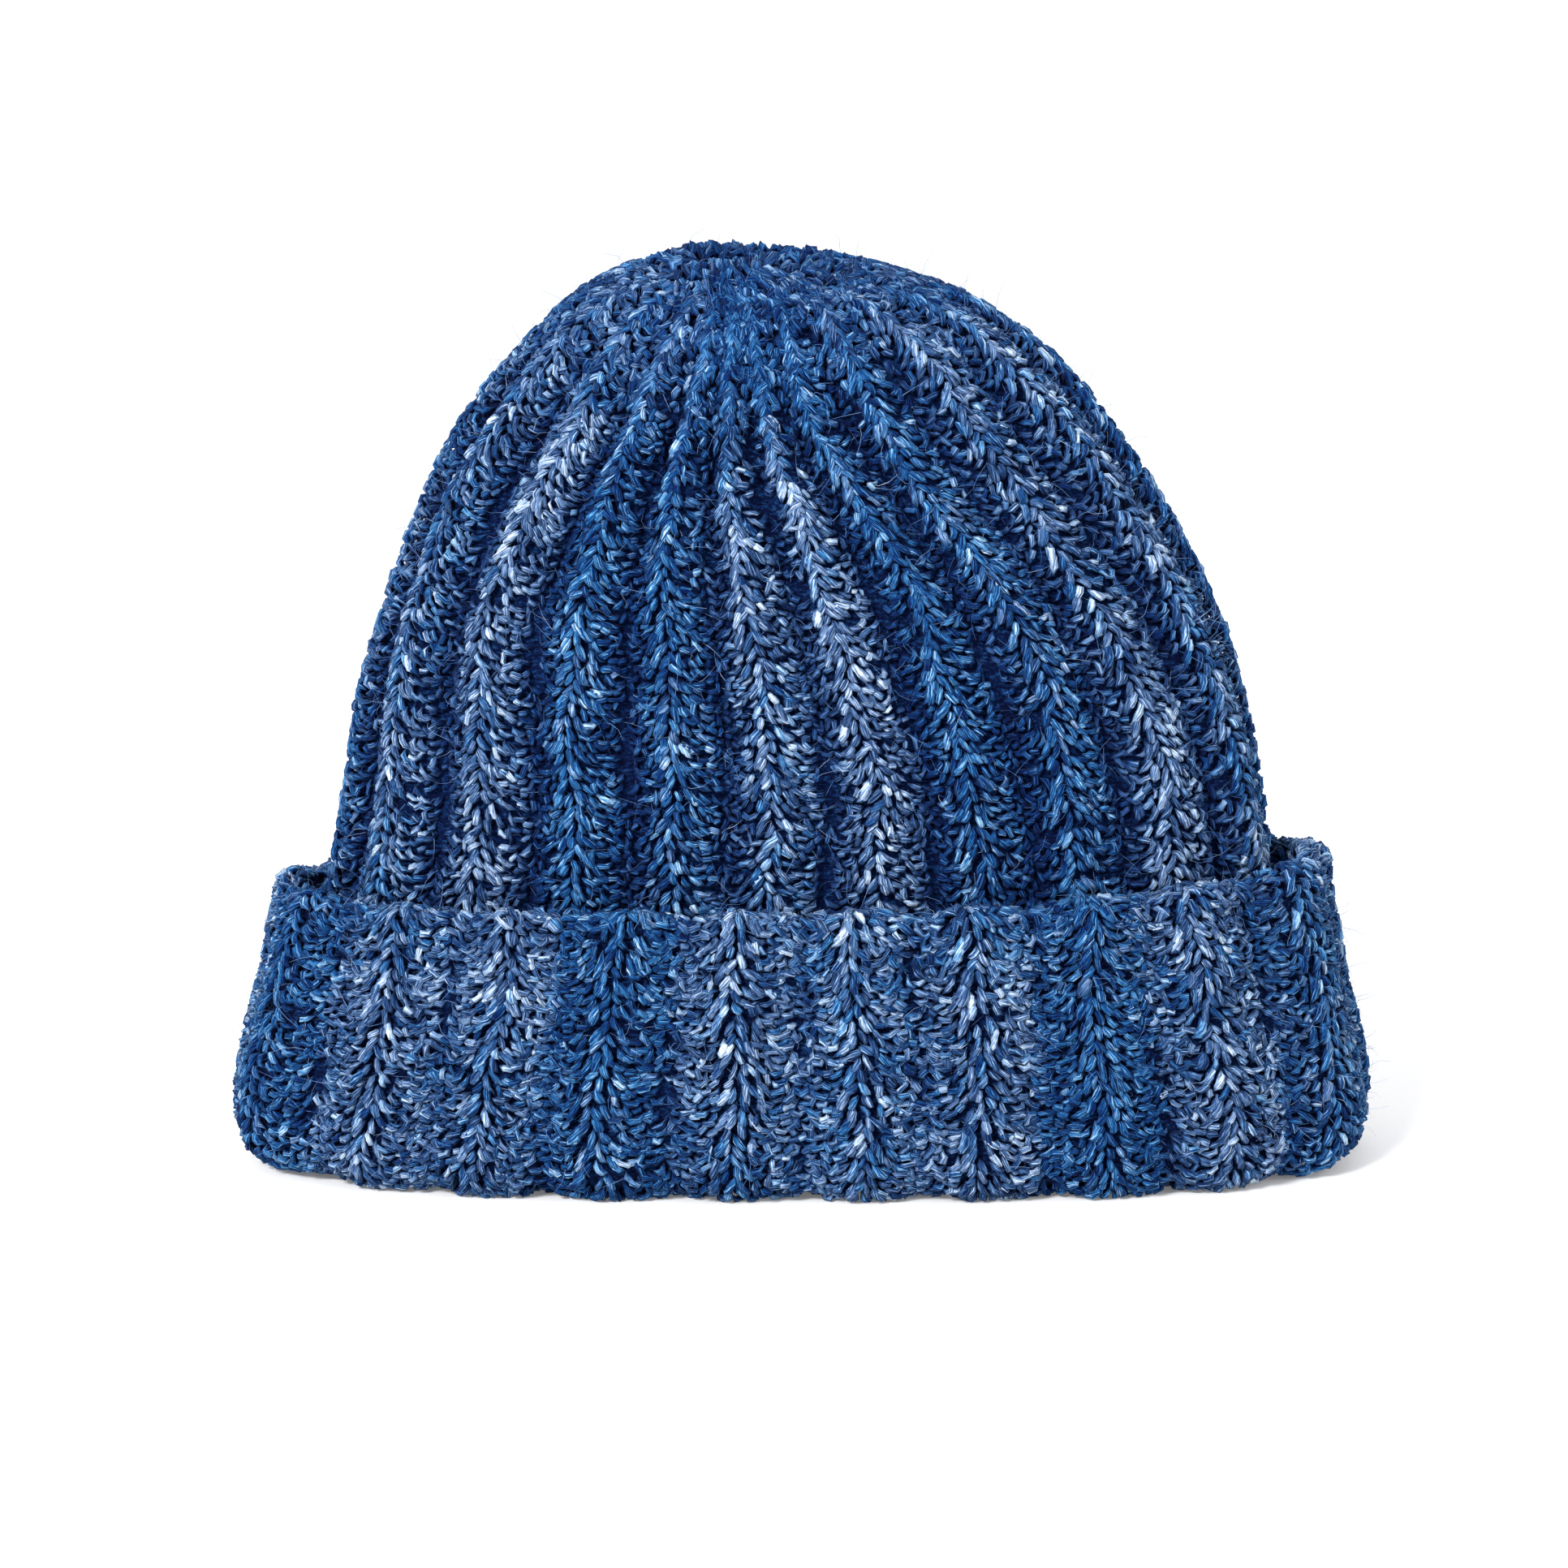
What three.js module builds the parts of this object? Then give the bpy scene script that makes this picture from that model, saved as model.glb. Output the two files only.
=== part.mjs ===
// A chunky ribbed beanie, crocheted sideways in one strip and standing on its turned-up cuff.
// The strip is closed into a tube and drawn together at the top, so its ribs run from the brim to one point.
// Three solids: the crown with its wall down to the brim, the cuff with the fold, and the closing stitches.
// Millimetres, +Z up. The hat stands on the plane Z = 0, centred on X = Y = 0, with its front facing -Y.
import * as THREE from "three";

// Driving dimensions
const HAT_HEIGHT = 199; // floor to the crest of the crown
const CROWN_WIDTH = 202; // across the outside of the ribs, just above the cuff
const CROWN_DEPTH = 86; // front to back at the same height
const CROWN_WALL = 5; // thickness of the crocheted fabric, without the ribs' relief
const RIB_COUNT = 22; // ribs around the hat, a pair of crochet rows each
const RIB_RELIEF = 2.2; // a rib's crest stands this far out of the fabric's middle, and a valley as far in
const RIB_FULLNESS = 0.8; // exponent of a rib's round section: smaller is fuller, with narrower valleys
const RIB_PHASE = -0.2; // the first rib's place beside the front's middle, in rib spacings
const CUFF_HEIGHT = 60.5; // floor to the cuff's rim at the front
const CUFF_WALL = 6; // fabric of the turned-up cuff
const CUFF_RELIEF = 1.2; // the cuff is stretched wider, so its ribs lie flatter
const CUFF_PHASE = 0.57; // the cuff shows the fabric's other face, whose ribs lie between the crown's
const CUFF_STANDOFF = 4.5; // how far the rim leans away from the crown
const RIM_SCALLOP = 0.8; // the rim rises and falls by this much with each rib
const SEAT_HEIGHT = 6; // the crown's lower edge stands this high, on the inside of the fold
const SEAT_GAP = 0.3; // clearance between two touching pieces
const FOLD_ROUNDING = 9; // rounding of the fold's outer lower edge
const LIP_ROUNDING = 3; // rounding of the fold's inner lower edge
const RIM_ROUNDING = 2.4; // rounding of the rim's two edges
const CLOSING_RADIUS = 4.2; // hole that is left when the top is drawn together
const CLOSING_CROWN = 1.2; // how far the closing stitches stand out of that hole

// How finely the solids are faceted
const STEPS_PER_RIB = 6;
const ARC_SAMPLES = 360;
const CUFF_STEPS = 4;
const ROUNDING_STEPS = 2;

// The crown from the brim to the closing, one row for each section of the middle of its wall.
// up: share of the hat's height. wide and deep: shares of the crown's half width and half depth.
// aside and ahead: where the section's centre lies, in the same shares, +X and -Y.
// ribs: share of the rib relief. square: exponent of the oval, 2 for an ellipse and more for a fuller one.
const crownSections = [
  { up: 0.03, wide: 1.16, deep: 1.06, aside: -0.018, ahead: 0.0, ribs: 0.4, square: 2.8 },
  { up: 0.1, wide: 1.142, deep: 1.05, aside: -0.016, ahead: 0.0, ribs: 0.4, square: 2.8 },
  { up: 0.2, wide: 1.075, deep: 1.02, aside: -0.012, ahead: 0.0, ribs: 0.5, square: 2.7 },
  { up: 0.305, wide: 1.018, deep: 1.0, aside: -0.012, ahead: 0.0, ribs: 0.75, square: 2.6 },
  { up: 0.41, wide: 0.982, deep: 1.0, aside: -0.008, ahead: 0.0, ribs: 1.0, square: 2.45 },
  { up: 0.52, wide: 0.934, deep: 1.0, aside: -0.013, ahead: 0.0, ribs: 1.0, square: 2.4 },
  { up: 0.62, wide: 0.866, deep: 0.98, aside: -0.017, ahead: 0.005, ribs: 1.0, square: 2.35 },
  { up: 0.725, wide: 0.775, deep: 0.92, aside: -0.03, ahead: 0.02, ribs: 1.0, square: 2.3 },
  { up: 0.81, wide: 0.667, deep: 0.83, aside: -0.042, ahead: 0.04, ribs: 1.0, square: 2.25 },
  { up: 0.875, wide: 0.552, deep: 0.71, aside: -0.042, ahead: 0.06, ribs: 0.95, square: 2.2 },
  { up: 0.925, wide: 0.42, deep: 0.56, aside: -0.052, ahead: 0.09, ribs: 0.85, square: 2.1 },
  { up: 0.957, wide: 0.29, deep: 0.42, aside: -0.08, ahead: 0.12, ribs: 0.65, square: 2.0 },
  { up: 0.972, wide: 0.175, deep: 0.29, aside: -0.12, ahead: 0.15, ribs: 0.4, square: 2.0 },
  { up: 0.966, wide: 0.095, deep: 0.185, aside: -0.155, ahead: 0.17, ribs: 0.15, square: 2.0 },
  { up: 0.945, wide: 0.0, deep: 0.0, aside: -0.165, ahead: 0.18, ribs: 0.0, square: 2.0 },
];

// Soft swells and dents of the crown. row: their middle's row in the table above, and rows: their reach.
// around: the middle's share of the way around, from the front towards +X, and reach: their reach there.
// out: height of the swell as a share of the wall, and less than 0 for a dent.
const swells = [
  { row: 12.6, rows: 1.1, around: 0.15, reach: 0.16, out: 0.45 },
  { row: 10.5, rows: 1.2, around: 0.78, reach: 0.06, out: 0.3 },
  { row: 9, rows: 1.2, around: 0.64, reach: 0.06, out: -0.5 },
  { row: 7, rows: 1.6, around: 0.09, reach: 0.05, out: -0.35 },
  { row: 8.5, rows: 1.4, around: 0.4, reach: 0.06, out: 0.4 },
  { row: 5.5, rows: 1.5, around: 0.52, reach: 0.05, out: -0.5 },
];

// How much higher the rim stands than at the front's middle, as shares of the cuff's height.
const rimRises = [
  { place: "front", rise: 0.0 },
  { place: "right", rise: 0.1 },
  { place: "back", rise: 0.02 },
  { place: "left", rise: -0.01 },
];

const halfWidth = CROWN_WIDTH / 2 - CROWN_WALL / 2 - RIB_RELIEF;
const halfDepth = CROWN_DEPTH / 2 - CROWN_WALL / 2 - RIB_RELIEF;
const around = RIB_COUNT * STEPS_PER_RIB;
const lastRow = crownSections.length - 1;

// A column of the table between its rows, on a Catmull-Rom curve through them.
function column(name, row) {
  const at = Math.min(Math.max(row, 0), lastRow);
  const i = Math.min(Math.floor(at), lastRow - 1);
  const f = at - i;
  const value = (k) => crownSections[Math.min(Math.max(k, 0), lastRow)][name];
  const [a, b, c, d] = [value(i - 1), value(i), value(i + 1), value(i + 2)];
  const pull = 2 * a - 5 * b + 4 * c - d;
  return b + 0.5 * f * (c - a + f * (pull + f * (3 * (b - c) + d - a)));
}

// An oval with points at even distances along it, starting at the front's middle and going to +X.
function oval(a, b, square) {
  const point = (angle) => {
    const s = Math.sin(angle);
    const c = Math.cos(angle);
    const x = a * Math.sign(s) * Math.abs(s) ** (2 / square);
    const y = -b * Math.sign(c) * Math.abs(c) ** (2 / square);
    return new THREE.Vector2(x, y);
  };
  const points = [];
  const lengths = [0];
  for (let i = 0; i <= ARC_SAMPLES; i++) {
    points.push(point((2 * Math.PI * i) / ARC_SAMPLES));
    if (i > 0) lengths.push(lengths[i - 1] + points[i].distanceTo(points[i - 1]));
  }
  return (share) => {
    const turn = share - Math.floor(share);
    const target = turn * lengths[ARC_SAMPLES];
    let i = 1;
    while (lengths[i] < target) i++;
    const f = (target - lengths[i - 1]) / (lengths[i] - lengths[i - 1]);
    return points[i - 1].clone().lerp(points[i], f);
  };
}

// The middle of the crown's wall: a row of the table and a share of the way around give a point.
const ovals = new Map();
function wallMiddle(row, share) {
  if (!ovals.has(row)) {
    const a = Math.max(column("wide", row) * halfWidth, CLOSING_RADIUS);
    const b = Math.max(column("deep", row) * halfDepth, CLOSING_RADIUS);
    ovals.set(row, oval(a, b, column("square", row)));
  }
  const p = ovals.get(row)(share);
  return new THREE.Vector3(
    p.x + column("aside", row) * halfWidth,
    p.y - column("ahead", row) * halfDepth,
    column("up", row) * HAT_HEIGHT,
  );
}

// The direction out of the hat at such a point. At the closing's edge it is straight up.
function outward(row, share) {
  if (row >= lastRow) return new THREE.Vector3(0, 0, 1);
  const step = 0.02;
  const along = wallMiddle(row, share + step / RIB_COUNT).sub(
    wallMiddle(row, share - step / RIB_COUNT),
  );
  const upward = wallMiddle(Math.min(row + step, lastRow), share).sub(
    wallMiddle(Math.max(row - step, 0), share),
  );
  return along.cross(upward).normalize();
}

// The ribs' wave around the hat: 1 on a rib's crest and -1 in a valley, with round crests and narrow valleys.
function ribWave(share, phase) {
  return 2 * Math.abs(Math.cos(Math.PI * (share * RIB_COUNT - phase))) ** RIB_FULLNESS - 1;
}

// A closed band through rings of points. Each ring goes once around, and the last ring meets the first.
function bandGeometry(rings) {
  const positions = rings.flat().flatMap((p) => [p.x, p.y, p.z]);
  const index = [];
  for (let r = 0; r < rings.length; r++) {
    const next = (r + 1) % rings.length;
    for (let i = 0; i < around; i++) {
      const j = (i + 1) % around;
      const [a, b] = [r * around + i, r * around + j];
      const [c, d] = [next * around + j, next * around + i];
      index.push(a, b, c, a, c, d);
    }
  }
  const geometry = new THREE.BufferGeometry();
  geometry.setAttribute("position", new THREE.Float32BufferAttribute(positions, 3));
  geometry.setIndex(index);
  geometry.computeVertexNormals();
  return geometry;
}

const shares = Array.from({ length: around }, (_, i) => i / around);

// The table's row at a height, for the lower part of the crown, where the sections only rise.
function rowAtHeight(height) {
  const up = Math.max(height / HAT_HEIGHT, crownSections[0].up);
  let row = 0;
  while (crownSections[row + 1].up < up) row++;
  const [low, high] = [crownSections[row].up, crownSections[row + 1].up];
  return row + (up - low) / (high - low);
}

const seatRow = rowAtHeight(SEAT_HEIGHT + SEAT_GAP); // where the crown's lower edge lies
const gatheredRow = 8; // above this row the inside needs as many rings as the outside

// How far the swells and dents put the crown's wall out at a place.
function swell(row, share) {
  return swells.reduce((sum, s) => {
    const turn = share - s.around;
    const beside = (turn - Math.round(turn)) / s.reach;
    return sum + s.out * CROWN_WALL * Math.exp(-(((row - s.row) / s.rows) ** 2) - beside ** 2);
  }, 0);
}

// The crown: a fabric of even thickness that waves in and out with the ribs, on both of its faces.
function crownRing(row, side) {
  const relief = RIB_RELIEF * column("ribs", row);
  return shares.map((share) => {
    const offset = (side * CROWN_WALL) / 2 + relief * ribWave(share, RIB_PHASE) + swell(row, share);
    const p = wallMiddle(row, share).addScaledVector(outward(row, share), offset);
    return row === seatRow ? p.setZ(SEAT_HEIGHT + SEAT_GAP) : p;
  });
}

function crownGeometry() {
  const whole = crownSections.map((_, i) => i).filter((row) => row > seatRow);
  const rows = [seatRow, ...whole];
  const inside = rows.filter((row) => row === seatRow || row % 2 === 0 || row > gatheredRow).reverse();
  return bandGeometry([
    ...rows.map((row) => crownRing(row, 1)),
    ...inside.map((row) => crownRing(row, -1)),
  ]);
}

// How much higher the rim stands at a share of the way around.
function rimRise(share) {
  const at = share * rimRises.length;
  const i = Math.floor(at) % rimRises.length;
  const f = (1 - Math.cos(Math.PI * (at - Math.floor(at)))) / 2;
  const [from, to] = [rimRises[i].rise, rimRises[(i + 1) % rimRises.length].rise];
  return CUFF_HEIGHT * (from + f * (to - from));
}

// Points of a rounded corner with its middle at [x, z], turning from one angle to another in a section.
function rounding(x, z, radius, from, to) {
  return Array.from({ length: ROUNDING_STEPS + 1 }, (_, i) => {
    const angle = THREE.MathUtils.degToRad(from + ((to - from) * i) / ROUNDING_STEPS);
    return [x + radius * Math.cos(angle), z + radius * Math.sin(angle)];
  });
}

// The cuff's section at one place: corners as distances out of the middle of the crown's wall, and heights.
// It goes down the fold's lip, along the flat that the hat stands on, up the outside and down the inside.
// Each rounding is kept within the wall that it is on.
function cuffSection(share) {
  const wave = ribWave(share, RIB_PHASE + CUFF_PHASE);
  const top = CUFF_HEIGHT + rimRise(share) + RIM_SCALLOP * wave;
  const inner = (height) =>
    CROWN_WALL / 2 + RIB_RELIEF + SEAT_GAP + (CUFF_STANDOFF * height) / CUFF_HEIGHT;
  const outer = (height) => inner(height) + CUFF_WALL + CUFF_RELIEF * wave;
  const lip = -CROWN_WALL / 2 - RIB_RELIEF * column("ribs", seatRow);
  const fold = Math.min(FOLD_ROUNDING, 0.7 * (outer(0) - lip));
  const lipFold = Math.min(LIP_ROUNDING, 0.5 * SEAT_HEIGHT);
  const rim = Math.min(RIM_ROUNDING, 0.4 * CUFF_WALL);
  const [lowest, highest] = [fold, top - rim];
  const outside = Array.from({ length: CUFF_STEPS - 1 }, (_, i) => {
    const height = lowest + ((highest - lowest) * (i + 1)) / CUFF_STEPS;
    return [outer(height), height];
  });
  return [
    [lip, SEAT_HEIGHT],
    ...rounding(lip + lipFold, lipFold, lipFold, 180, 270),
    ...rounding(outer(lowest) - fold, fold, fold, -90, 0),
    ...outside,
    ...rounding(outer(highest) - rim, highest, rim, 0, 90),
    ...rounding(inner(highest) + rim, highest, rim, 90, 180),
    [inner(top / 2), top / 2],
    [inner(SEAT_HEIGHT), SEAT_HEIGHT],
  ];
}

function cuffGeometry() {
  const columns = shares.map((share) =>
    cuffSection(share).map(([offset, height]) => {
      const row = rowAtHeight(height);
      const level = outward(row, share).setZ(0).normalize();
      return wallMiddle(row, share).addScaledVector(level, offset).setZ(height);
    }),
  );
  return bandGeometry(columns[0].map((_, corner) => columns.map((points) => points[corner])));
}

// The closing stitches: a small round darn that fills the hole where the top is drawn together.
// out: shares of the darn's radius. up: shares of half the wall, and above that of how far it stands out.
const closingProfile = [
  { out: 0.0, up: -1.0, above: 0.0 },
  { out: 0.8, up: -1.0, above: 0.0 },
  { out: 1.0, up: -0.5, above: 0.0 },
  { out: 1.0, up: 0.7, above: 0.0 },
  { out: 0.7, up: 1.0, above: 0.8 },
  { out: 0.0, up: 1.0, above: 1.0 },
];

function closingGeometry() {
  const radius = CLOSING_RADIUS - SEAT_GAP;
  const profile = closingProfile.map(
    ({ out, up, above }) =>
      new THREE.Vector2(out * radius, (up * CROWN_WALL) / 2 + above * CLOSING_CROWN),
  );
  return new THREE.LatheGeometry(profile, RIB_COUNT).rotateX(Math.PI / 2);
}

// Yarn
const denimYarn = new THREE.MeshStandardMaterial({
  color: new THREE.Color(0.053, 0.108, 0.228),
  roughness: 0.95,
  metalness: 0,
});

// The hat
const hat = new THREE.Group();

const crown = new THREE.Mesh(crownGeometry(), denimYarn);
crown.name = "crown";
hat.add(crown);

const cuff = new THREE.Mesh(cuffGeometry(), denimYarn.clone());
cuff.name = "turned_up_cuff";
hat.add(cuff);

const closing = new THREE.Mesh(closingGeometry(), denimYarn.clone());
closing.name = "closing_stitches";
closing.position.set(
  column("aside", lastRow) * halfWidth,
  -column("ahead", lastRow) * halfDepth,
  column("up", lastRow) * HAT_HEIGHT,
);
hat.add(closing);

// The crown leans a little, so the whole hat is set with the middle of its outer box over X = Y = 0.
const middle = new THREE.Box3().setFromObject(hat).getCenter(new THREE.Vector3());
hat.position.set(-middle.x, -middle.y, 0);

export default hat;
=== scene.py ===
# %% [markdown]
# # A crocheted beanie in chunky heather yarn
# The hat is one strip of fabric, crocheted sideways, closed into a tube and drawn together at the top.
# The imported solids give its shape. This script dresses them in yarn: every stitch is a strand of its own.

# %% Load the solids
import math

import bpy
import numpy as np
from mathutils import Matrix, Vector


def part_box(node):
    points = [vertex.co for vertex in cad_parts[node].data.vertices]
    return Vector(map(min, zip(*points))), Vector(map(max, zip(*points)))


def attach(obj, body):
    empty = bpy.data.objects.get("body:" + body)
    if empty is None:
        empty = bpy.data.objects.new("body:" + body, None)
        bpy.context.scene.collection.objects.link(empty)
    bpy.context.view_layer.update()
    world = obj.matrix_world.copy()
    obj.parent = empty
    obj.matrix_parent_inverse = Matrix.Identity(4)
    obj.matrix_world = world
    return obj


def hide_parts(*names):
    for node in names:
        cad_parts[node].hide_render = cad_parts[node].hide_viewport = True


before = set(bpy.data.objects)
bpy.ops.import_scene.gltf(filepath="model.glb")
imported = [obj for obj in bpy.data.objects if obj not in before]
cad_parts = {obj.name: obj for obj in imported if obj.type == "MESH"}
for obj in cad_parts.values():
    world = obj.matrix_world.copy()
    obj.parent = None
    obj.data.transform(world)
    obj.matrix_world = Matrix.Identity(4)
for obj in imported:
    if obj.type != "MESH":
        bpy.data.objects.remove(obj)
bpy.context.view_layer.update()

MM = 0.001

# %% [markdown]
# ## Camera
# The hat stands upright on its folded edge and the camera looks at its front from slightly above.
# A long lens from 0.8 m keeps the perspective as flat as in a product picture.

# %% Camera
CAMERA_DISTANCE = 0.8
CAMERA_ELEVATION = math.radians(6.9)
CAMERA_LENS = 84.4  # mm, on a sensor of 36 mm
CAMERA_TARGET_HEIGHT = 0.1
CAMERA_AIM = Vector((-0.0035, 0.0, 0.081))

camera_data = bpy.data.cameras.new("camera")
camera_data.lens = CAMERA_LENS
camera_data.sensor_width = 36.0
camera = bpy.data.objects.new("camera", camera_data)
bpy.context.scene.collection.objects.link(camera)
camera.location = (
    0.0,
    -CAMERA_DISTANCE * math.cos(CAMERA_ELEVATION),
    CAMERA_TARGET_HEIGHT + CAMERA_DISTANCE * math.sin(CAMERA_ELEVATION),
)
camera.rotation_euler = (CAMERA_AIM - camera.location).to_track_quat("-Z", "Y").to_euler()
bpy.context.scene.camera = camera
print("camera at", [round(v, 3) for v in camera.location])

# %% [markdown]
# ## The fabric's shape
# The strands have to lie on the same surface as the solids, so its few measures are stated again here.
# A section table gives ovals from the brim to the gathered top, and a curve through the table joins them.
# Here the table also says how the soft top leans towards the front, where it is gathered, and how the ribs
# slant and crowd together in front. Lengths are in millimetres until a mesh is made.

# %% Measures of the fabric
HAT_HEIGHT = 199.0
CROWN_WIDTH = 202.0
CROWN_DEPTH = 86.0
CROWN_WALL = 5.0
RIB_COUNT = 22
RIB_RELIEF = 2.2
RIB_FULLNESS = 0.8
RIB_PHASE = -0.2
CUFF_HEIGHT = 60.5
CUFF_WALL = 6.0
CUFF_RELIEF = 1.2
CUFF_PHASE = 0.37
CUFF_STANDOFF = 4.5
RIM_SCALLOP = 0.8
RIM_RISES = (0.0, 0.1, 0.02, -0.01)  # front, right, back, left
FOLD_ROUNDING = 9.0
FOLD_SCALLOP = 0.55  # how far the fold rises between the ribs
END_CURL = 2.4  # how far it rises at the hat's two ends
LIP_ROUNDING = 3.0
SEAT_HEIGHT = 6.0
SEAT_GAP = 0.3
CLOSING_RADIUS = 4.2

COLUMNS = ("up", "wide", "deep", "aside", "ahead", "ribs", "square", "lean", "slant", "pinch")
SECTIONS = np.array([
    (0.03, 1.16, 1.06, -0.018, 0.0, 0.4, 2.8, 0.0, 0.0, 0.0),
    (0.1, 1.142, 1.05, -0.016, 0.0, 0.4, 2.8, 0.0, 0.0, 0.0),
    (0.2, 1.075, 1.02, -0.012, 0.0, 0.5, 2.7, 0.0, 0.0, 0.0),
    (0.305, 1.018, 1.0, -0.012, 0.0, 0.75, 2.6, 0.0, 0.0, 0.0),
    (0.41, 0.982, 1.0, -0.008, 0.0, 1.0, 2.45, 0.0, -0.02, 0.0),
    (0.52, 0.934, 1.0, -0.015, 0.0, 1.0, 2.4, 0.0, -0.14, 0.02),
    (0.62, 0.860, 0.98, -0.021, 0.005, 1.0, 2.35, 0.0, -0.28, 0.12),
    (0.725, 0.758, 0.92, -0.040, 0.02, 1.0, 2.3, 0.0, -0.42, 0.48),
    (0.808, 0.648, 0.83, -0.052, 0.04, 1.0, 2.25, 0.0, -0.52, 0.85),
    (0.868, 0.536, 0.71, -0.056, 0.065, 0.95, 2.2, 0.0, -0.6, 1.0),
    (0.914, 0.408, 0.56, -0.070, 0.11, 0.85, 2.1, 0.08, -0.66, 1.05),
    (0.938, 0.285, 0.42, -0.105, 0.17, 0.65, 2.0, 0.25, -0.7, 1.05),
    (0.948, 0.175, 0.29, -0.145, 0.22, 0.4, 2.0, 0.28, -0.7, 1.0),
    (0.948, 0.095, 0.185, -0.172, 0.26, 0.15, 2.0, 0.22, -0.7, 0.9),
    (0.944, 0.0, 0.0, -0.182, 0.27, 0.0, 2.0, 0.2, -0.7, 0.8),
])
LAST_ROW = len(SECTIONS) - 1
HALF_WIDTH = CROWN_WIDTH / 2 - CROWN_WALL / 2 - RIB_RELIEF
HALF_DEPTH = CROWN_DEPTH / 2 - CROWN_WALL / 2 - RIB_RELIEF

# Soft swells and dents: row, rows, around, reach, out.
SWELLS = (
    (12.6, 1.1, 0.15, 0.16, 0.45),
    (11.6, 0.7, 0.62, 0.07, 0.3),
    (10.5, 1.2, 0.78, 0.06, 0.3),
    (9.0, 1.2, 0.64, 0.06, -0.5),
    (7.0, 1.6, 0.09, 0.05, -0.35),
    (8.5, 1.4, 0.4, 0.06, 0.4),
    (5.5, 1.5, 0.52, 0.05, -0.5),
)


def spline(values, at):
    """A Catmull-Rom curve through values[0], values[1] ..., read at fractional positions."""
    last = len(values) - 1
    at = np.clip(at, 0, last)
    i = np.minimum(np.floor(at).astype(int), last - 1)
    f = (at - i).reshape(at.shape + (1,) * (values.ndim - 1))
    a, b, c, d = (values[np.clip(i + k, 0, last)] for k in (-1, 0, 1, 2))
    return b + 0.5 * f * (c - a + f * (2 * a - 5 * b + 4 * c - d + f * (3 * (b - c) + d - a)))


def column(name, row):
    return spline(SECTIONS[:, COLUMNS.index(name)], np.asarray(row, float))


print("sections:", len(SECTIONS), "of", RIB_COUNT, "ribs")

# %% [markdown]
# ## The middle of the wall
# Each section is an oval whose points lie at even distances, because the ribs are equally wide all around.
# Two shares say where a point is: the row of the table, and the way around from the front towards +X.

# %% Ovals and directions
AROUND = RIB_COUNT * 24
SHARES = np.arange(AROUND) / AROUND
FRONT_BRAID = -0.285  # the rib number of the braid that the front's ribs crowd around
CROWDED_RIBS = 11  # how many ribs the crowding moves
turned = (SHARES * RIB_COUNT - FRONT_BRAID + RIB_COUNT / 2) % RIB_COUNT - RIB_COUNT / 2
CROWDING = np.where(np.abs(turned) < CROWDED_RIBS / 2, -np.sin(2 * np.pi * turned / CROWDED_RIBS), 0.0)


def wall_middle(rows):
    angle = np.linspace(0, 2 * np.pi, 721)
    s, c = np.sin(angle), np.cos(angle)
    rings = []
    for row in rows:
        a = max(column("wide", row) * HALF_WIDTH, CLOSING_RADIUS)
        b = max(column("deep", row) * HALF_DEPTH, CLOSING_RADIUS)
        power = 2 / column("square", row)
        x = a * np.sign(s) * np.abs(s) ** power
        y = -b * np.sign(c) * np.abs(c) ** power
        length = np.concatenate([[0], np.cumsum(np.hypot(np.diff(x), np.diff(y)))])
        moved = column("slant", row) + column("pinch", row) * CROWDING
        at = (SHARES + moved / RIB_COUNT) % 1.0 * length[-1]
        back = np.interp(at, length, y)
        rings.append(np.stack([
            np.interp(at, length, x) + column("aside", row) * HALF_WIDTH,
            back - column("ahead", row) * HALF_DEPTH,
            column("up", row) * HAT_HEIGHT + column("lean", row) * back,
        ], axis=1))
    return np.array(rings)


def unit(v):
    return v / np.maximum(np.linalg.norm(v, axis=-1, keepdims=True), 1e-9)


def grid_normals(points):
    """Directions out of a grid that goes up in its rows and towards +X in front in its columns."""
    beside = np.roll(points, -1, axis=1) - np.roll(points, 1, axis=1)
    return unit(np.cross(beside, np.gradient(points, axis=0)))


def rib_wave(u, phase):
    return 2 * np.abs(np.cos(np.pi * (u - phase))) ** RIB_FULLNESS - 1


fine_rows = np.arange(0, LAST_ROW + 0.01, 0.1)
middle = wall_middle(fine_rows)
outward = grid_normals(middle)
outward[-1] = (0, 0, 1)
swell = np.zeros(middle.shape[:2])
for row, rows, around, reach, out in SWELLS:
    turn = SHARES - around
    beside = (turn - np.round(turn)) / reach
    swell += out * CROWN_WALL * np.exp(-(((fine_rows - row) / rows) ** 2)[:, None] - beside**2)
relief = (RIB_RELIEF * column("ribs", fine_rows))[:, None] * rib_wave(SHARES * RIB_COUNT, RIB_PHASE)

crown_outside = middle + (CROWN_WALL / 2 + relief + swell)[..., None] * outward
box_low, box_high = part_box("crown")
centre = (np.array(box_low) + np.array(box_high)) / (2 * MM)
own_centre = (crown_outside.min(axis=(0, 1)) + crown_outside.max(axis=(0, 1))) / 2
shift = np.array([centre[0] - own_centre[0], centre[1] - own_centre[1], 0.0])
middle = middle + shift
print("the solids stand", np.round(shift, 2), "mm beside the table's own centre")

# %% [markdown]
# ## Fabric as a grid of stitches
# A crocheter counts ribs around the hat and stitches along a rib, so the fabric is read the same way.
# `at(u, v, lift)` gives the point at rib `u` and stitch `v`, `lift` millimetres above the fabric's face.
# Every later step uses it to lay strands, so a pattern that is drawn flat follows the round hat.


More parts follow.
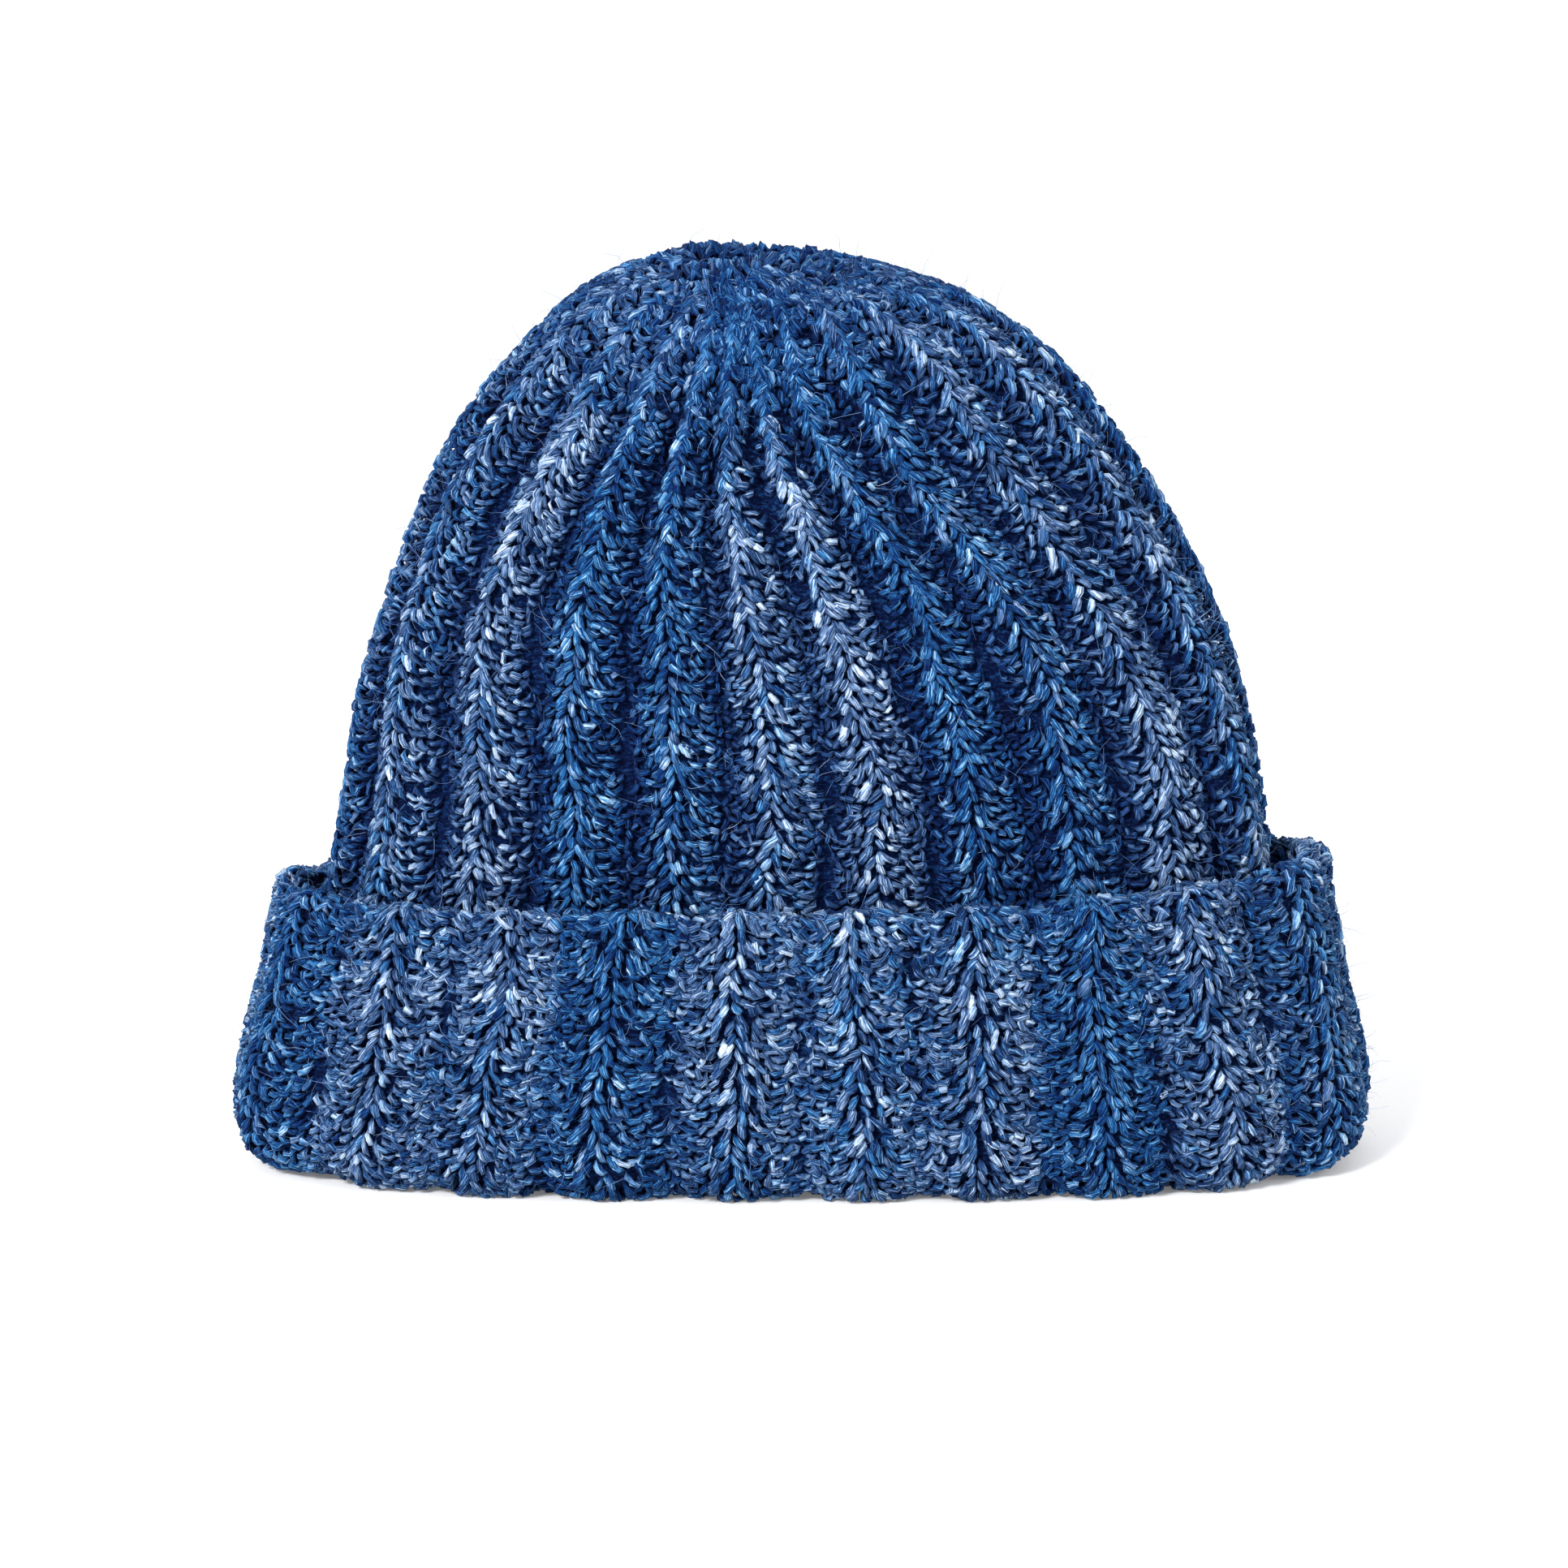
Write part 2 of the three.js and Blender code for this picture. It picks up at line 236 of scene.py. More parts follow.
# %% The fabric's grid
class Cloth:
    def __init__(self, points, normals, stitches, relief, phase, shade=1.0, steps=8):
        """Rows go along a rib. They are set at even distances, `steps` of them for each stitch."""
        leg = np.linalg.norm(np.diff(points, axis=0), axis=-1)
        length = np.concatenate([np.zeros((1, points.shape[1])), np.cumsum(leg, axis=0)])
        share = np.linspace(0, 1, int(stitches * steps) + 1)
        self.points = np.empty((len(share),) + points.shape[1:])
        self.normals = np.empty_like(self.points)
        for s in range(points.shape[1]):
            at = share * length[-1, s]
            for k in range(3):
                self.points[:, s, k] = np.interp(at, length[:, s], points[:, s, k])
                self.normals[:, s, k] = np.interp(at, length[:, s], normals[:, s, k])
        self.stitches = stitches
        self.steps = steps
        self.pitch = length[-1].mean() / stitches
        beside = np.roll(self.points, -1, axis=1) - np.roll(self.points, 1, axis=1)
        self.width = np.linalg.norm(beside, axis=-1) * self.points.shape[1] / RIB_COUNT / 2
        # shade: how strongly depth is painted as shade into the colour of this face's grains
        self.relief, self.phase, self.shade = relief, phase, shade

    def read(self, grid, u, v):
        rows, cols = grid.shape[:2]
        y = np.clip(np.asarray(v) * self.steps, 0, rows - 1.001)
        x = (np.asarray(u) / RIB_COUNT % 1.0) * cols
        j, i = np.floor(y).astype(int), np.floor(x).astype(int)
        fy, fx = y - j, x - i
        if grid.ndim == 3:
            fy, fx = fy[..., None], fx[..., None]
        i, i2 = i % cols, (i + 1) % cols
        low = grid[j, i] * (1 - fx) + grid[j, i2] * fx
        high = grid[j + 1, i] * (1 - fx) + grid[j + 1, i2] * fx
        return low * (1 - fy) + high * fy

    def facing(self, u, v):
        return unit(self.read(self.normals, u, v))

    def at(self, u, v, lift):
        return self.read(self.points, u, v) + np.asarray(lift)[..., None] * self.facing(u, v)

    def valley(self, u):
        """How many mm the fabric's face lies below the ribs' crests."""
        return self.relief * (1 - rib_wave(u, self.phase))

    def rib_width(self, u, v):
        return self.read(self.width, u, v)


CROWN_STITCHES = 43
use = fine_rows >= np.interp(SEAT_HEIGHT + SEAT_GAP, middle[:60, 0, 2], fine_rows[:60]) - 0.05
crown_face = Cloth(
    (middle + (CROWN_WALL / 2 + relief + swell)[..., None] * outward)[use],
    outward[use],
    CROWN_STITCHES,
    RIB_RELIEF,
    RIB_PHASE,
    0.93,
)

# The last stitches are pulled straight into the gather, and their face looks up.
GATHERED_FROM = 41
gathered = crown_face.points[GATHERED_FROM * crown_face.steps:]
pulled = np.linspace(0, 1, len(gathered))[:, None, None]
gathered[:] = (1 - pulled) * gathered[0] + pulled * gathered[-1].mean(axis=0)
upright = np.clip((np.arange(len(crown_face.points)) / crown_face.steps - GATHERED_FROM) / 1.5 + 1, 0, 1)[:, None, None]
crown_face.normals = (1 - upright) * crown_face.normals + upright * np.array([0.0, 0.0, 1.0])

crown_lining = Cloth(
    (middle + (-CROWN_WALL / 2 + relief + swell)[..., None] * outward)[use],
    -outward[use],
    CROWN_STITCHES,
    RIB_RELIEF * 0.5,
    RIB_PHASE + 0.5,
    0.4,
)
print("crown: stitch pitch", round(crown_face.pitch, 2), "mm, rib", round(crown_face.width[160].mean(), 1), "mm")

# %% [markdown]
# ## The turned-up cuff
# The cuff's path starts a little way down the rim's inside, goes over the rim, down the outside,
# round the fold, along the flat that the hat stands on, and up the lip to the inside of the hat.

# %% The cuff's path
RIM_INSIDE = 14.0  # how far the path reaches down behind the rim
CUFF_STITCHES = 19
RIM_STITCH = 3.0  # the rim's top is this many stitches along the path


# The cuff is stretched unevenly by hand: rib number, and by how many ribs it is moved towards +X.
CUFF_DRIFT = ((-8, 0.0), (-4, 0.04), (-2, -0.04), (-1, 0.08), (0, 0.2), (1, 0.25), (2, 0.33), (3, 0.34), (4, 0.31),
              (5, 0.28), (7, 0.2), (10, 0.06), (14, 0.0))


def cuff_surface(relief_share):
    angle = np.linspace(0, np.pi / 2, 9)
    rib_numbers = (SHARES * RIB_COUNT + 8) % RIB_COUNT - 8
    drift = np.interp(rib_numbers, *np.transpose(CUFF_DRIFT)) / RIB_COUNT * AROUND
    z_table, row_table = middle[:60, 0, 2], fine_rows[:60]
    columns = []
    for s, share in enumerate(SHARES):
        wave = relief_share * rib_wave(share * RIB_COUNT, CUFF_PHASE)
        at = share * 4
        i, f = int(at) % 4, (1 - math.cos(math.pi * (at - int(at)))) / 2
        rise = RIM_RISES[i] + f * (RIM_RISES[(i + 1) % 4] - RIM_RISES[i])
        top = CUFF_HEIGHT * (1 + rise) + RIM_SCALLOP * wave
        inner = lambda z: CROWN_WALL / 2 + RIB_RELIEF + SEAT_GAP + CUFF_STANDOFF * z / CUFF_HEIGHT
        outer = lambda z: inner(z) + CUFF_WALL + CUFF_RELIEF * wave
        lip = -CROWN_WALL / 2 - RIB_RELIEF * 0.4
        half = CUFF_WALL / 2
        down = np.linspace(top - RIM_INSIDE, top - half, 6)
        up = np.linspace(top - half, FOLD_ROUNDING, 14)[1:]
        rim_middle, reach = (inner(top) + outer(top)) / 2, (outer(top) - inner(top)) / 2
        offset = np.concatenate([
            inner(down),
            rim_middle - reach * np.cos(2 * angle[1:]),
            outer(up),
            outer(FOLD_ROUNDING) - FOLD_ROUNDING * (1 - np.cos(angle[1:])),
            np.linspace(outer(FOLD_ROUNDING) - FOLD_ROUNDING, lip + LIP_ROUNDING, 4)[1:],
            lip + LIP_ROUNDING * (1 - np.sin(angle[1:])),
            [lip],
        ])
        height = np.concatenate([
            down,
            top - half + half * np.sin(2 * angle[1:]),
            up,
            FOLD_ROUNDING * (1 - np.sin(angle[1:])),
            np.zeros(3),
            LIP_ROUNDING * (1 - np.cos(angle[1:])),
            [SEAT_HEIGHT + SEAT_GAP],
        ])
        row = np.interp(np.maximum(height, z_table[0]), z_table, row_table) * 10
        here = int(np.floor(s + drift[s]))
        part, here, beyond = s + drift[s] - here, here % AROUND, (here + 1) % AROUND
        wall = (1 - part) * middle[:60, here] + part * middle[:60, beyond]
        facing = (1 - part) * outward[:60, here] + part * outward[:60, beyond]
        base = np.stack([np.interp(row, np.arange(60), wall[:, k]) for k in range(3)], axis=1)
        level = np.stack([np.interp(row, np.arange(60), facing[:, k]) for k in range(3)], axis=1)
        level[:, 2] = 0
        points = base + offset[:, None] * unit(level)
        dent = FOLD_SCALLOP * (1 - rib_wave(share * RIB_COUNT, CUFF_PHASE)) * np.exp(-height / FOLD_ROUNDING)
        curl = END_CURL * np.abs(np.sin(2 * np.pi * share)) ** 8 * np.exp(-height / FOLD_ROUNDING)
        points[:, 2] = height + relief_share * dent + curl
        columns.append(points)
    return np.array(columns).transpose(1, 0, 2)


cuff_smooth = cuff_surface(0.0)
cuff_normals = -grid_normals(cuff_smooth)
cuff_face = Cloth(cuff_surface(1.0), cuff_normals, CUFF_STITCHES, CUFF_RELIEF, CUFF_PHASE, 0.6)
print("cuff: stitch pitch", round(cuff_face.pitch, 2), "mm")

# %% [markdown]
# ## Grains of yarn
# Seen close, the fabric is made of plump grains. Each is a ply of the twisted yarn where it comes over the
# top of a strand, a few millimetres long, before it dives under the next one. Two slanting pairs of them meet
# in the braid on the rib's crest. On the flanks they run down, then level, and curl up in the valley.
# Each grain is laid as a short bowed path with a lens's girth, because the dark gaps between grains are
# what makes the fabric look crocheted, and a bump texture has no such gaps.

# %% Laying grains
TWIST_LENGTH = 16.0  # mm of yarn for one full turn of its fibres
END_GIRTH = 0.3  # a grain's girth at its ends, as a share of its girth in the middle
DIVE = 1.2  # mm that a grain's ends lie deeper than its middle
SHADE_FROM = 0.9  # mm below the fabric's face where the painted shade begins
SHADE_DEPTH = 2.0  # mm of depth over which the painted light falls to a third
CROWD_SHADE = 0.2  # how much shade is painted on the crowded grains near the gather
VALLEYS_CLOSE = (30.0, 37.0)  # the crown's stitches between which the valleys fill up towards the gather
rng = np.random.default_rng(20)


def crowded(cloth, v):
    """Near the gather the fabric is crowded: 0 where its valleys begin to fill up and 1 where they are full."""
    if cloth is not crown_face:
        return np.zeros(np.shape(v))
    share = np.clip((v - VALLEYS_CLOSE[0]) / (VALLEYS_CLOSE[1] - VALLEYS_CLOSE[0]), 0, 1)
    return share * share * (3 - 2 * share)


def filled(cloth, u, v):
    """By how many mm the crowding lifts the valleys."""
    return 0.85 * crowded(cloth, v) * cloth.valley(u)


def lay_grains(cloth, u, v, side, angle, length, girth, lift, bow, count, up=1.0, floor=False):
    """For one grain at each u and v: points and girths in mm, its painted shade from 0 to 1, and which way is out.

    The angle is taken from level, away from the braid. Lift is measured from the fabric's face.
    """
    t = np.linspace(-1, 1, count)
    n = len(u)
    length, girth, lift, bow, angle = (np.broadcast_to(x, (n,))[:, None] for x in (length, girth, lift, bow, angle))
    run = t * length / 2
    rise = bow * (t**2 - 0.4)
    width = np.maximum(cloth.rib_width(u, v), 3.0)[:, None]
    beside = (run * np.cos(angle) - rise * np.sin(angle)) / width
    along = (run * np.sin(angle) + rise * np.cos(angle)) / cloth.pitch
    at_u = u[:, None] + side * beside
    at_v = v[:, None] + up * along
    height = lift - DIVE * t**4 + filled(cloth, at_u, at_v)
    points = cloth.at(at_u, at_v, height)
    radius = girth * (END_GIRTH + (1 - END_GIRTH) * (1 - t**2) ** 0.6)
    if floor:
        points[..., 2] = np.maximum(points[..., 2], radius)
    # Painted shade: the deeper a grain lies below the ribs' crests, the darker its colour is made.
    below = cloth.valley(at_u) - height
    shade = cloth.shade * (1 - np.exp(-np.maximum(below - SHADE_FROM, 0) / SHADE_DEPTH))
    # Painted shade for the crowding near the gather.
    shade = shade + CROWD_SHADE * crowded(cloth, at_v)
    return points, radius, shade, cloth.facing(at_u, at_v)


print("a grain's ends lie", DIVE, "mm deeper than its middle")

# %% [markdown]
# ## Spinning the strands
# Curve to Mesh in Geometry Nodes gives a path its thickness, and a tilt along the path winds the fibres
# round it as in real yarn. Each point carries what the yarn shader needs later: which side of the grain it
# is on, the length along, the rib's tone, whether it is a pale fleck, how much shade is painted on it for its
# depth and crowding, and whether it faces out of the fabric, because shade is painted round a grain's edges
# where it touches its neighbours.


# %% Geometry Nodes: yarn from paths
def add(tree, kind, **settings):
    node = tree.nodes.new(kind)
    for name, value in settings.items():
        setattr(node, name, value)
    return node


def named(tree, name, data_type="FLOAT"):
    node = add(tree, "GeometryNodeInputNamedAttribute", data_type=data_type)
    node.inputs["Name"].default_value = name
    return node.outputs["Attribute"]


def socket(tree, name, kind, default=None, output=False):
    item = tree.interface.new_socket(name, in_out="OUTPUT" if output else "INPUT", socket_type=kind)
    if default is not None:
        item.default_value = default
    return item.identifier


def yarn_tree():
    tree = bpy.data.node_groups.new("yarn from paths", "GeometryNodeTree")
    ids = {
        "Paths": socket(tree, "Paths", "NodeSocketGeometry"),
        "Sides": socket(tree, "Sides", "NodeSocketInt", 8),
        "Yarn": socket(tree, "Yarn", "NodeSocketMaterial"),
    }
    socket(tree, "Yarn mesh", "NodeSocketGeometry", output=True)
    link = tree.links.new
    given, result = add(tree, "NodeGroupInput"), add(tree, "NodeGroupOutput")
    curve = add(tree, "GeometryNodeMeshToCurve")
    link(given.outputs["Paths"], curve.inputs["Mesh"])
    tilt = add(tree, "GeometryNodeSetCurveTilt")
    link(curve.outputs["Curve"], tilt.inputs["Curve"])
    link(named(tree, "twist"), tilt.inputs["Tilt"])

    circle = add(tree, "GeometryNodeCurvePrimitiveCircle")
    circle.inputs["Radius"].default_value = 1.0
    link(given.outputs["Sides"], circle.inputs["Resolution"])
    store = add(tree, "GeometryNodeStoreNamedAttribute", data_type="FLOAT_VECTOR", domain="POINT")
    store.inputs["Name"].default_value = "side"
    place = add(tree, "GeometryNodeInputPosition")
    link(circle.outputs["Curve"], store.inputs["Geometry"])
    link(place.outputs[0], store.inputs["Value"])

    tube = add(tree, "GeometryNodeCurveToMesh")
    tube.inputs["Fill Caps"].default_value = True
    link(tilt.outputs["Curve"], tube.inputs["Curve"])
    link(store.outputs["Geometry"], tube.inputs["Profile Curve"])
    link(named(tree, "girth"), tube.inputs["Scale"])
    smooth = add(tree, "GeometryNodeSetShadeSmooth")
    link(tube.outputs["Mesh"], smooth.inputs["Geometry"])
    # Each point's facing is kept for the shader, which paints shade round the grains' edges with it.
    facing = add(tree, "ShaderNodeVectorMath", operation="DOT_PRODUCT")
    link(add(tree, "GeometryNodeInputNormal").outputs[0], facing.inputs[0])
    link(named(tree, "out", "FLOAT_VECTOR"), facing.inputs[1])
    edge = add(tree, "GeometryNodeStoreNamedAttribute", data_type="FLOAT", domain="POINT")
    edge.inputs["Name"].default_value = "facing"
    link(smooth.outputs["Geometry"], edge.inputs["Geometry"])
    link(facing.outputs["Value"], edge.inputs["Value"])
    real = add(tree, "GeometryNodeRealizeInstances")
    link(edge.outputs["Geometry"], real.inputs["Geometry"])
    finish = add(tree, "GeometryNodeSetMaterial")
    link(real.outputs["Geometry"], finish.inputs["Geometry"])
    link(given.outputs["Yarn"], finish.inputs["Material"])
    link(finish.outputs["Geometry"], result.inputs[0])
    return tree, ids


YARN_TREE, YARN_INPUTS = yarn_tree()
pieces = {}


def grow(name, guide, tree, inputs, values):
    """Runs a tree on a guide mesh and keeps the result as a plain mesh object of that name."""
    modifier = guide.modifiers.new("grow", "NODES")
    modifier.node_group = tree
    for key, value in values.items():
        modifier[inputs[key]] = value
    evaluated = guide.evaluated_get(bpy.context.evaluated_depsgraph_get())
    mesh = bpy.data.meshes.new_from_object(evaluated)
    mesh.name = name
    guide.modifiers.remove(modifier)
    bpy.data.objects.remove(guide)
    piece = bpy.data.objects.new(name, mesh)
    bpy.context.scene.collection.objects.link(piece)
    pieces[name] = piece
    return piece


def guide_object(name, points, edges, faces=()):
    mesh = bpy.data.meshes.new(name + "_guide")
    mesh.from_pydata(points, edges, faces)
    guide = bpy.data.objects.new(name + "_guide", mesh)
    bpy.context.scene.collection.objects.link(guide)
    return guide


def put_attribute(mesh, name, values):
    mesh.attributes.new(name, "FLOAT", "POINT").data.foreach_set("value", np.ravel(values).astype(np.float32))


def triangle_count(mesh):
    return sum(len(p.vertices) - 2 for p in mesh.polygons)


def spin(name, strands, yarn, sides=5):
    """strands: a list of (points, girth, shade, out, tone, fleck) with one row for each grain."""
    blocks, edges, outs, start = [], [], [], 0
    names = ("girth", "twist", "tone", "fleck", "along", "seed", "shade")
    values = {key: [] for key in names}
    for points, girth, shade, out, tone, fleck in strands:
        n, m = girth.shape
        step = np.linalg.norm(np.diff(points, axis=1), axis=-1)
        along = np.concatenate([np.zeros((n, 1)), np.cumsum(step, axis=1)], axis=1)
        along += rng.uniform(0, 300, size=(n, 1))
        ids = start + np.arange(n * m).reshape(n, m)
        edges.append(np.stack([ids[:, :-1].ravel(), ids[:, 1:].ravel()], axis=1))
        blocks.append(points.reshape(-1, 3))
        outs.append(out.reshape(-1, 3))
        start += n * m
        full = np.ones((1, m))
        values["girth"].append(girth * MM)
        values["twist"].append(2 * np.pi * along / TWIST_LENGTH)
        values["tone"].append(tone[:, None] * full)
        values["fleck"].append(fleck[:, None] * full)
        values["along"].append(along)
        values["seed"].append(rng.uniform(0, 100, size=(n, 1)) * full)
        values["shade"].append(shade)
    guide = guide_object(name, np.concatenate(blocks) * MM, np.concatenate(edges))
    for key in names:
        put_attribute(guide.data, key, np.concatenate([v.ravel() for v in values[key]]))
    directions = np.concatenate(outs).astype(np.float32).ravel()
    guide.data.attributes.new("out", "FLOAT_VECTOR", "POINT").data.foreach_set("vector", directions)
    piece = grow(name, guide, YARN_TREE, YARN_INPUTS, {"Sides": sides, "Yarn": yarn})
    print(name, "grains", sum(len(s[1]) for s in strands), "triangles", triangle_count(piece.data))
    return piece


# %% [markdown]
# ## Heather yarn
# Heather yarn is spun from fibres that are dyed before spinning, so each grain has its own shade of blue,
# with lavender and now and then a pale fleck. The shader adds streaks that run along the grain, stretched
# from noise by the grain's own side and length, and it paints shade into the colour of what lies deep or
# crowded in the fabric and round each grain's edges.


# %% The yarn shader
def math_node(tree, operation, a, b=None, c=None, clamp=False):
    node = add(tree, "ShaderNodeMath", operation=operation, use_clamp=clamp)
    for i, value in enumerate((a, b, c)):
        if value is None:
            continue
        if isinstance(value, (int, float)):
            node.inputs[i].default_value = value
        else:
            tree.links.new(value, node.inputs[i])
    return node.outputs[0]


def attribute(tree, name, output="Fac"):
    return add(tree, "ShaderNodeAttribute", attribute_type="GEOMETRY", attribute_name=name).outputs[output]


def vector_of(tree, x, y, z):
    node = add(tree, "ShaderNodeCombineXYZ")
    for i, value in enumerate((x, y, z)):
        if isinstance(value, (int, float)):
            node.inputs[i].default_value = value
        else:
            tree.links.new(value, node.inputs[i])
    return node.outputs[0]


def noise(tree, vector, scale, detail=2.0, roughness=0.5):
    node = add(tree, "ShaderNodeTexNoise", noise_dimensions="3D")
    node.inputs["Scale"].default_value = scale
    node.inputs["Detail"].default_value = detail
    node.inputs["Roughness"].default_value = roughness
    tree.links.new(vector, node.inputs["Vector"])
    return node.outputs["Fac"]


# The heather mix from its darkest fibre to its palest, as linear colours: plies of denim and of lavender.
DENIM = (
    (0.0, (0.000, 0.004, 0.042)),
    (0.2, (0.000, 0.016, 0.092)),
    (0.4, (0.006, 0.054, 0.178)),
    (0.55, (0.020, 0.120, 0.290)),
    (0.7, (0.072, 0.245, 0.470)),
    (0.85, (0.240, 0.440, 0.660)),
    (1.0, (0.620, 0.740, 0.830)),
)
LAVENDER = (
    (0.0, (0.000, 0.006, 0.040)),
    (0.2, (0.005, 0.025, 0.086)),
    (0.4, (0.030, 0.072, 0.172)),
    (0.55, (0.080, 0.145, 0.285)),
    (0.7, (0.190, 0.280, 0.460)),
    (0.85, (0.400, 0.500, 0.660)),
    (1.0, (0.700, 0.760, 0.810)),
)


def fill_ramp(ramp, stops):
    elements = ramp.color_ramp.elements
    while len(elements) > 1:
        elements.remove(elements[-1])
    for i, (position, colour) in enumerate(stops):
        element = elements[0] if i == 0 else elements.new(position)
        element.position = position
        element.color = (*colour, 1.0)


FIBRE_ALONG = 0.3  # how fast the streaks change along a grain, for each mm
FIBRES_ACROSS = 3.3
EDGE_SHADE = 0.62  # how much shade is painted on a grain where it turns away from the fabric's face


def yarn_material(name, shade=1.0):
    material = bpy.data.materials.new(name)
    material.use_nodes = True
    tree = material.node_tree
    tree.nodes.clear()
    link = tree.links.new
    out = add(tree, "ShaderNodeOutputMaterial")
    shader = add(tree, "ShaderNodeBsdfPrincipled")
    link(shader.outputs[0], out.inputs["Surface"])
    shader.inputs["Roughness"].default_value = 0.82
    shader.inputs["Specular IOR Level"].default_value = 0.06
    shader.inputs["Sheen Weight"].default_value = 0.03
    shader.inputs["Sheen Roughness"].default_value = 0.4
    shader.inputs["Sheen Tint"].default_value = (0.6, 0.75, 1.0, 1.0)

    side = add(tree, "ShaderNodeSeparateXYZ")
    link(attribute(tree, "side", "Vector"), side.inputs[0])
    along = attribute(tree, "along")
    seed = attribute(tree, "seed")
    tone = attribute(tree, "tone")
    fleck = attribute(tree, "fleck")
    white = add(tree, "ShaderNodeTexWhiteNoise", noise_dimensions="3D")
    link(vector_of(tree, seed, 3.5, 0.5), white.inputs["Vector"])
    fibre_at = vector_of(
        tree,
        math_node(tree, "MULTIPLY_ADD", along, FIBRE_ALONG, seed),
        math_node(tree, "MULTIPLY", side.outputs[0], FIBRES_ACROSS),
        math_node(tree, "MULTIPLY", side.outputs[1], FIBRES_ACROSS),
    )
    fibre = noise(tree, fibre_at, 1.0, 3.0, 0.65)
    cloud = noise(tree, add(tree, "ShaderNodeTexCoord").outputs["Object"], 90.0, 2.0)

    def varied(total, factor, weight):
        return math_node(tree, "MULTIPLY_ADD", math_node(tree, "SUBTRACT", factor, 0.5), weight, total)

    total = math_node(tree, "MULTIPLY_ADD", tone, 0.1, 0.385)
    total = varied(total, white.outputs["Value"], 0.34)
    total = varied(total, cloud, 0.3)
    total = varied(total, fibre, 2.5)
    total = math_node(tree, "MULTIPLY_ADD", fleck, 0.25, total, clamp=True)
    shades = []
    for stops in (DENIM, LAVENDER):
        ramp = add(tree, "ShaderNodeValToRGB")
        fill_ramp(ramp, stops)
        link(total, ramp.inputs["Fac"])
        shades.append(ramp.outputs["Color"])
    other = math_node(tree, "MULTIPLY_ADD", tone, 1.1, math_node(tree, "SUBTRACT", white.outputs["Color"], 0.85))
    ply_mix = add(tree, "ShaderNodeMix", data_type="RGBA")
    link(math_node(tree, "MULTIPLY", other, 2.2, clamp=True), ply_mix.inputs["Factor"])
    link(shades[0], ply_mix.inputs["A"])
    link(shades[1], ply_mix.inputs["B"])

    # Painted shade: depth, crowding and edge shade darken the base colour, red fastest and blue slowest, so shade stays
    # blue.
    lit = math_node(tree, "SUBTRACT", shade, attribute(tree, "shade"), clamp=True)
    # Painted shade round each grain's edges, where it turns away from the fabric's face.
    painted_edge_shade = math_node(tree, "MULTIPLY_ADD", attribute(tree, "facing"), EDGE_SHADE, 1.08 - EDGE_SHADE, clamp=True)
    dark = math_node(tree, "MULTIPLY", lit, painted_edge_shade)
    mix = add(tree, "ShaderNodeMix", data_type="RGBA", blend_type="MULTIPLY")
    mix.inputs["Factor"].default_value = 1.0
    link(ply_mix.outputs["Result"], mix.inputs["A"])
    painted_shade_colour = add(tree, "ShaderNodeCombineColor")
    for i, power in enumerate((1.6, 1.08, 0.62)):
        link(math_node(tree, "POWER", dark, power), painted_shade_colour.inputs[i])
    link(painted_shade_colour.outputs[0], mix.inputs["B"])
    link(mix.outputs["Result"], shader.inputs["Base Color"])

    bump = add(tree, "ShaderNodeBump")
    bump.inputs["Strength"].default_value = 0.9
    bump.inputs["Distance"].default_value = 0.0005
    link(fibre, bump.inputs["Height"])
    link(bump.outputs["Normal"], shader.inputs["Normal"])
    return material


heather = yarn_material("heather_yarn_strands")
print("materials:", [m.name for m in bpy.data.materials])

# %% [markdown]
# ## Shades from rib to rib
# The yarn was dyed in long stretches, so whole ribs are deep blue and others pale lavender.
# The ribs are counted from the front's middle towards +X. Tone 0 is the deepest blue and 1 the palest.

# %% Shades of the ribs
CROWN_TONES = {
    0: 0.7, 1: 0.95, 2: 0.12, 3: 0.25, 4: 0.75, 5: 0.6, 6: 0.3, 7: 0.7, 8: 0.3, 9: 0.12, 10: 0.5, 11: 0.75,
    -1: 0.2, -2: 0.12, -3: 0.88, -4: 0.6, -5: 0.45, -6: 0.65, -7: 0.2, -8: 0.3, -9: 0.7, -10: 0.25,
}
CUFF_TONES = {
    0: 0.62, 1: 0.6, 2: 0.05, 3: 0.75, 4: 0.3, 5: 0.55, 6: 0.2, 7: 0.6, 8: 0.35, 9: 0.15, 10: 0.6, 11: 0.45,
    -1: 0.6, -2: 0.12, -3: 0.65, -4: 0.65, -5: 0.2, -6: 0.45, -7: 0.7, -8: 0.2, -9: 0.35, -10: 0.6,
}


# Towards the gather the shades run together: rib number and tone there.
TOP_TONES = ((-8, 0.2), (-5, 0.55), (-2, 0.55), (-1, 0.08), (2, 0.08), (3, 0.5), (6, 0.5), (8, 0.2), (14, 0.2))


def tone_of(tones, rib, v, phase):
    """The rib's own tone, drifting slowly along it."""
    index = (np.round(rib).astype(int) + 10) % RIB_COUNT - 10
    base = np.array([tones[k] for k in range(-10, 12)])[index + 10]
    if tones is CROWN_TONES:
        top = np.clip((v - 28) / 6, 0, 1)
        base = (1 - top) * base + top * np.interp((rib + 8) % RIB_COUNT - 8, *np.transpose(TOP_TONES))
    slow = np.sin(v * 0.31 + index * 2.4 + phase) + 0.6 * np.sin(v * 0.83 + index * 1.3)
    return np.clip(base + 0.11 * slow, 0, 1)


def flecks_for(tone, size):
    """Pale flecks are commoner in the mixed ribs than in the plain blue ones."""
    return (rng.uniform(size=size) < 0.04 + 0.2 * tone).astype(float)


# %% [markdown]
# ## Where the grains of a stitch lie
# Legs and flanks are charted once for a stitch: how far beside the braid, in rib widths, how many to a stitch,
# at which slant, how long and thick, how high and how much bowed. The braid lies left of the rib's middle,
# and the right flank is wide and plump, while the left one sinks into the valley. Each grain is then laid
# with its own small errors, because no two stitches of hand work are the same.

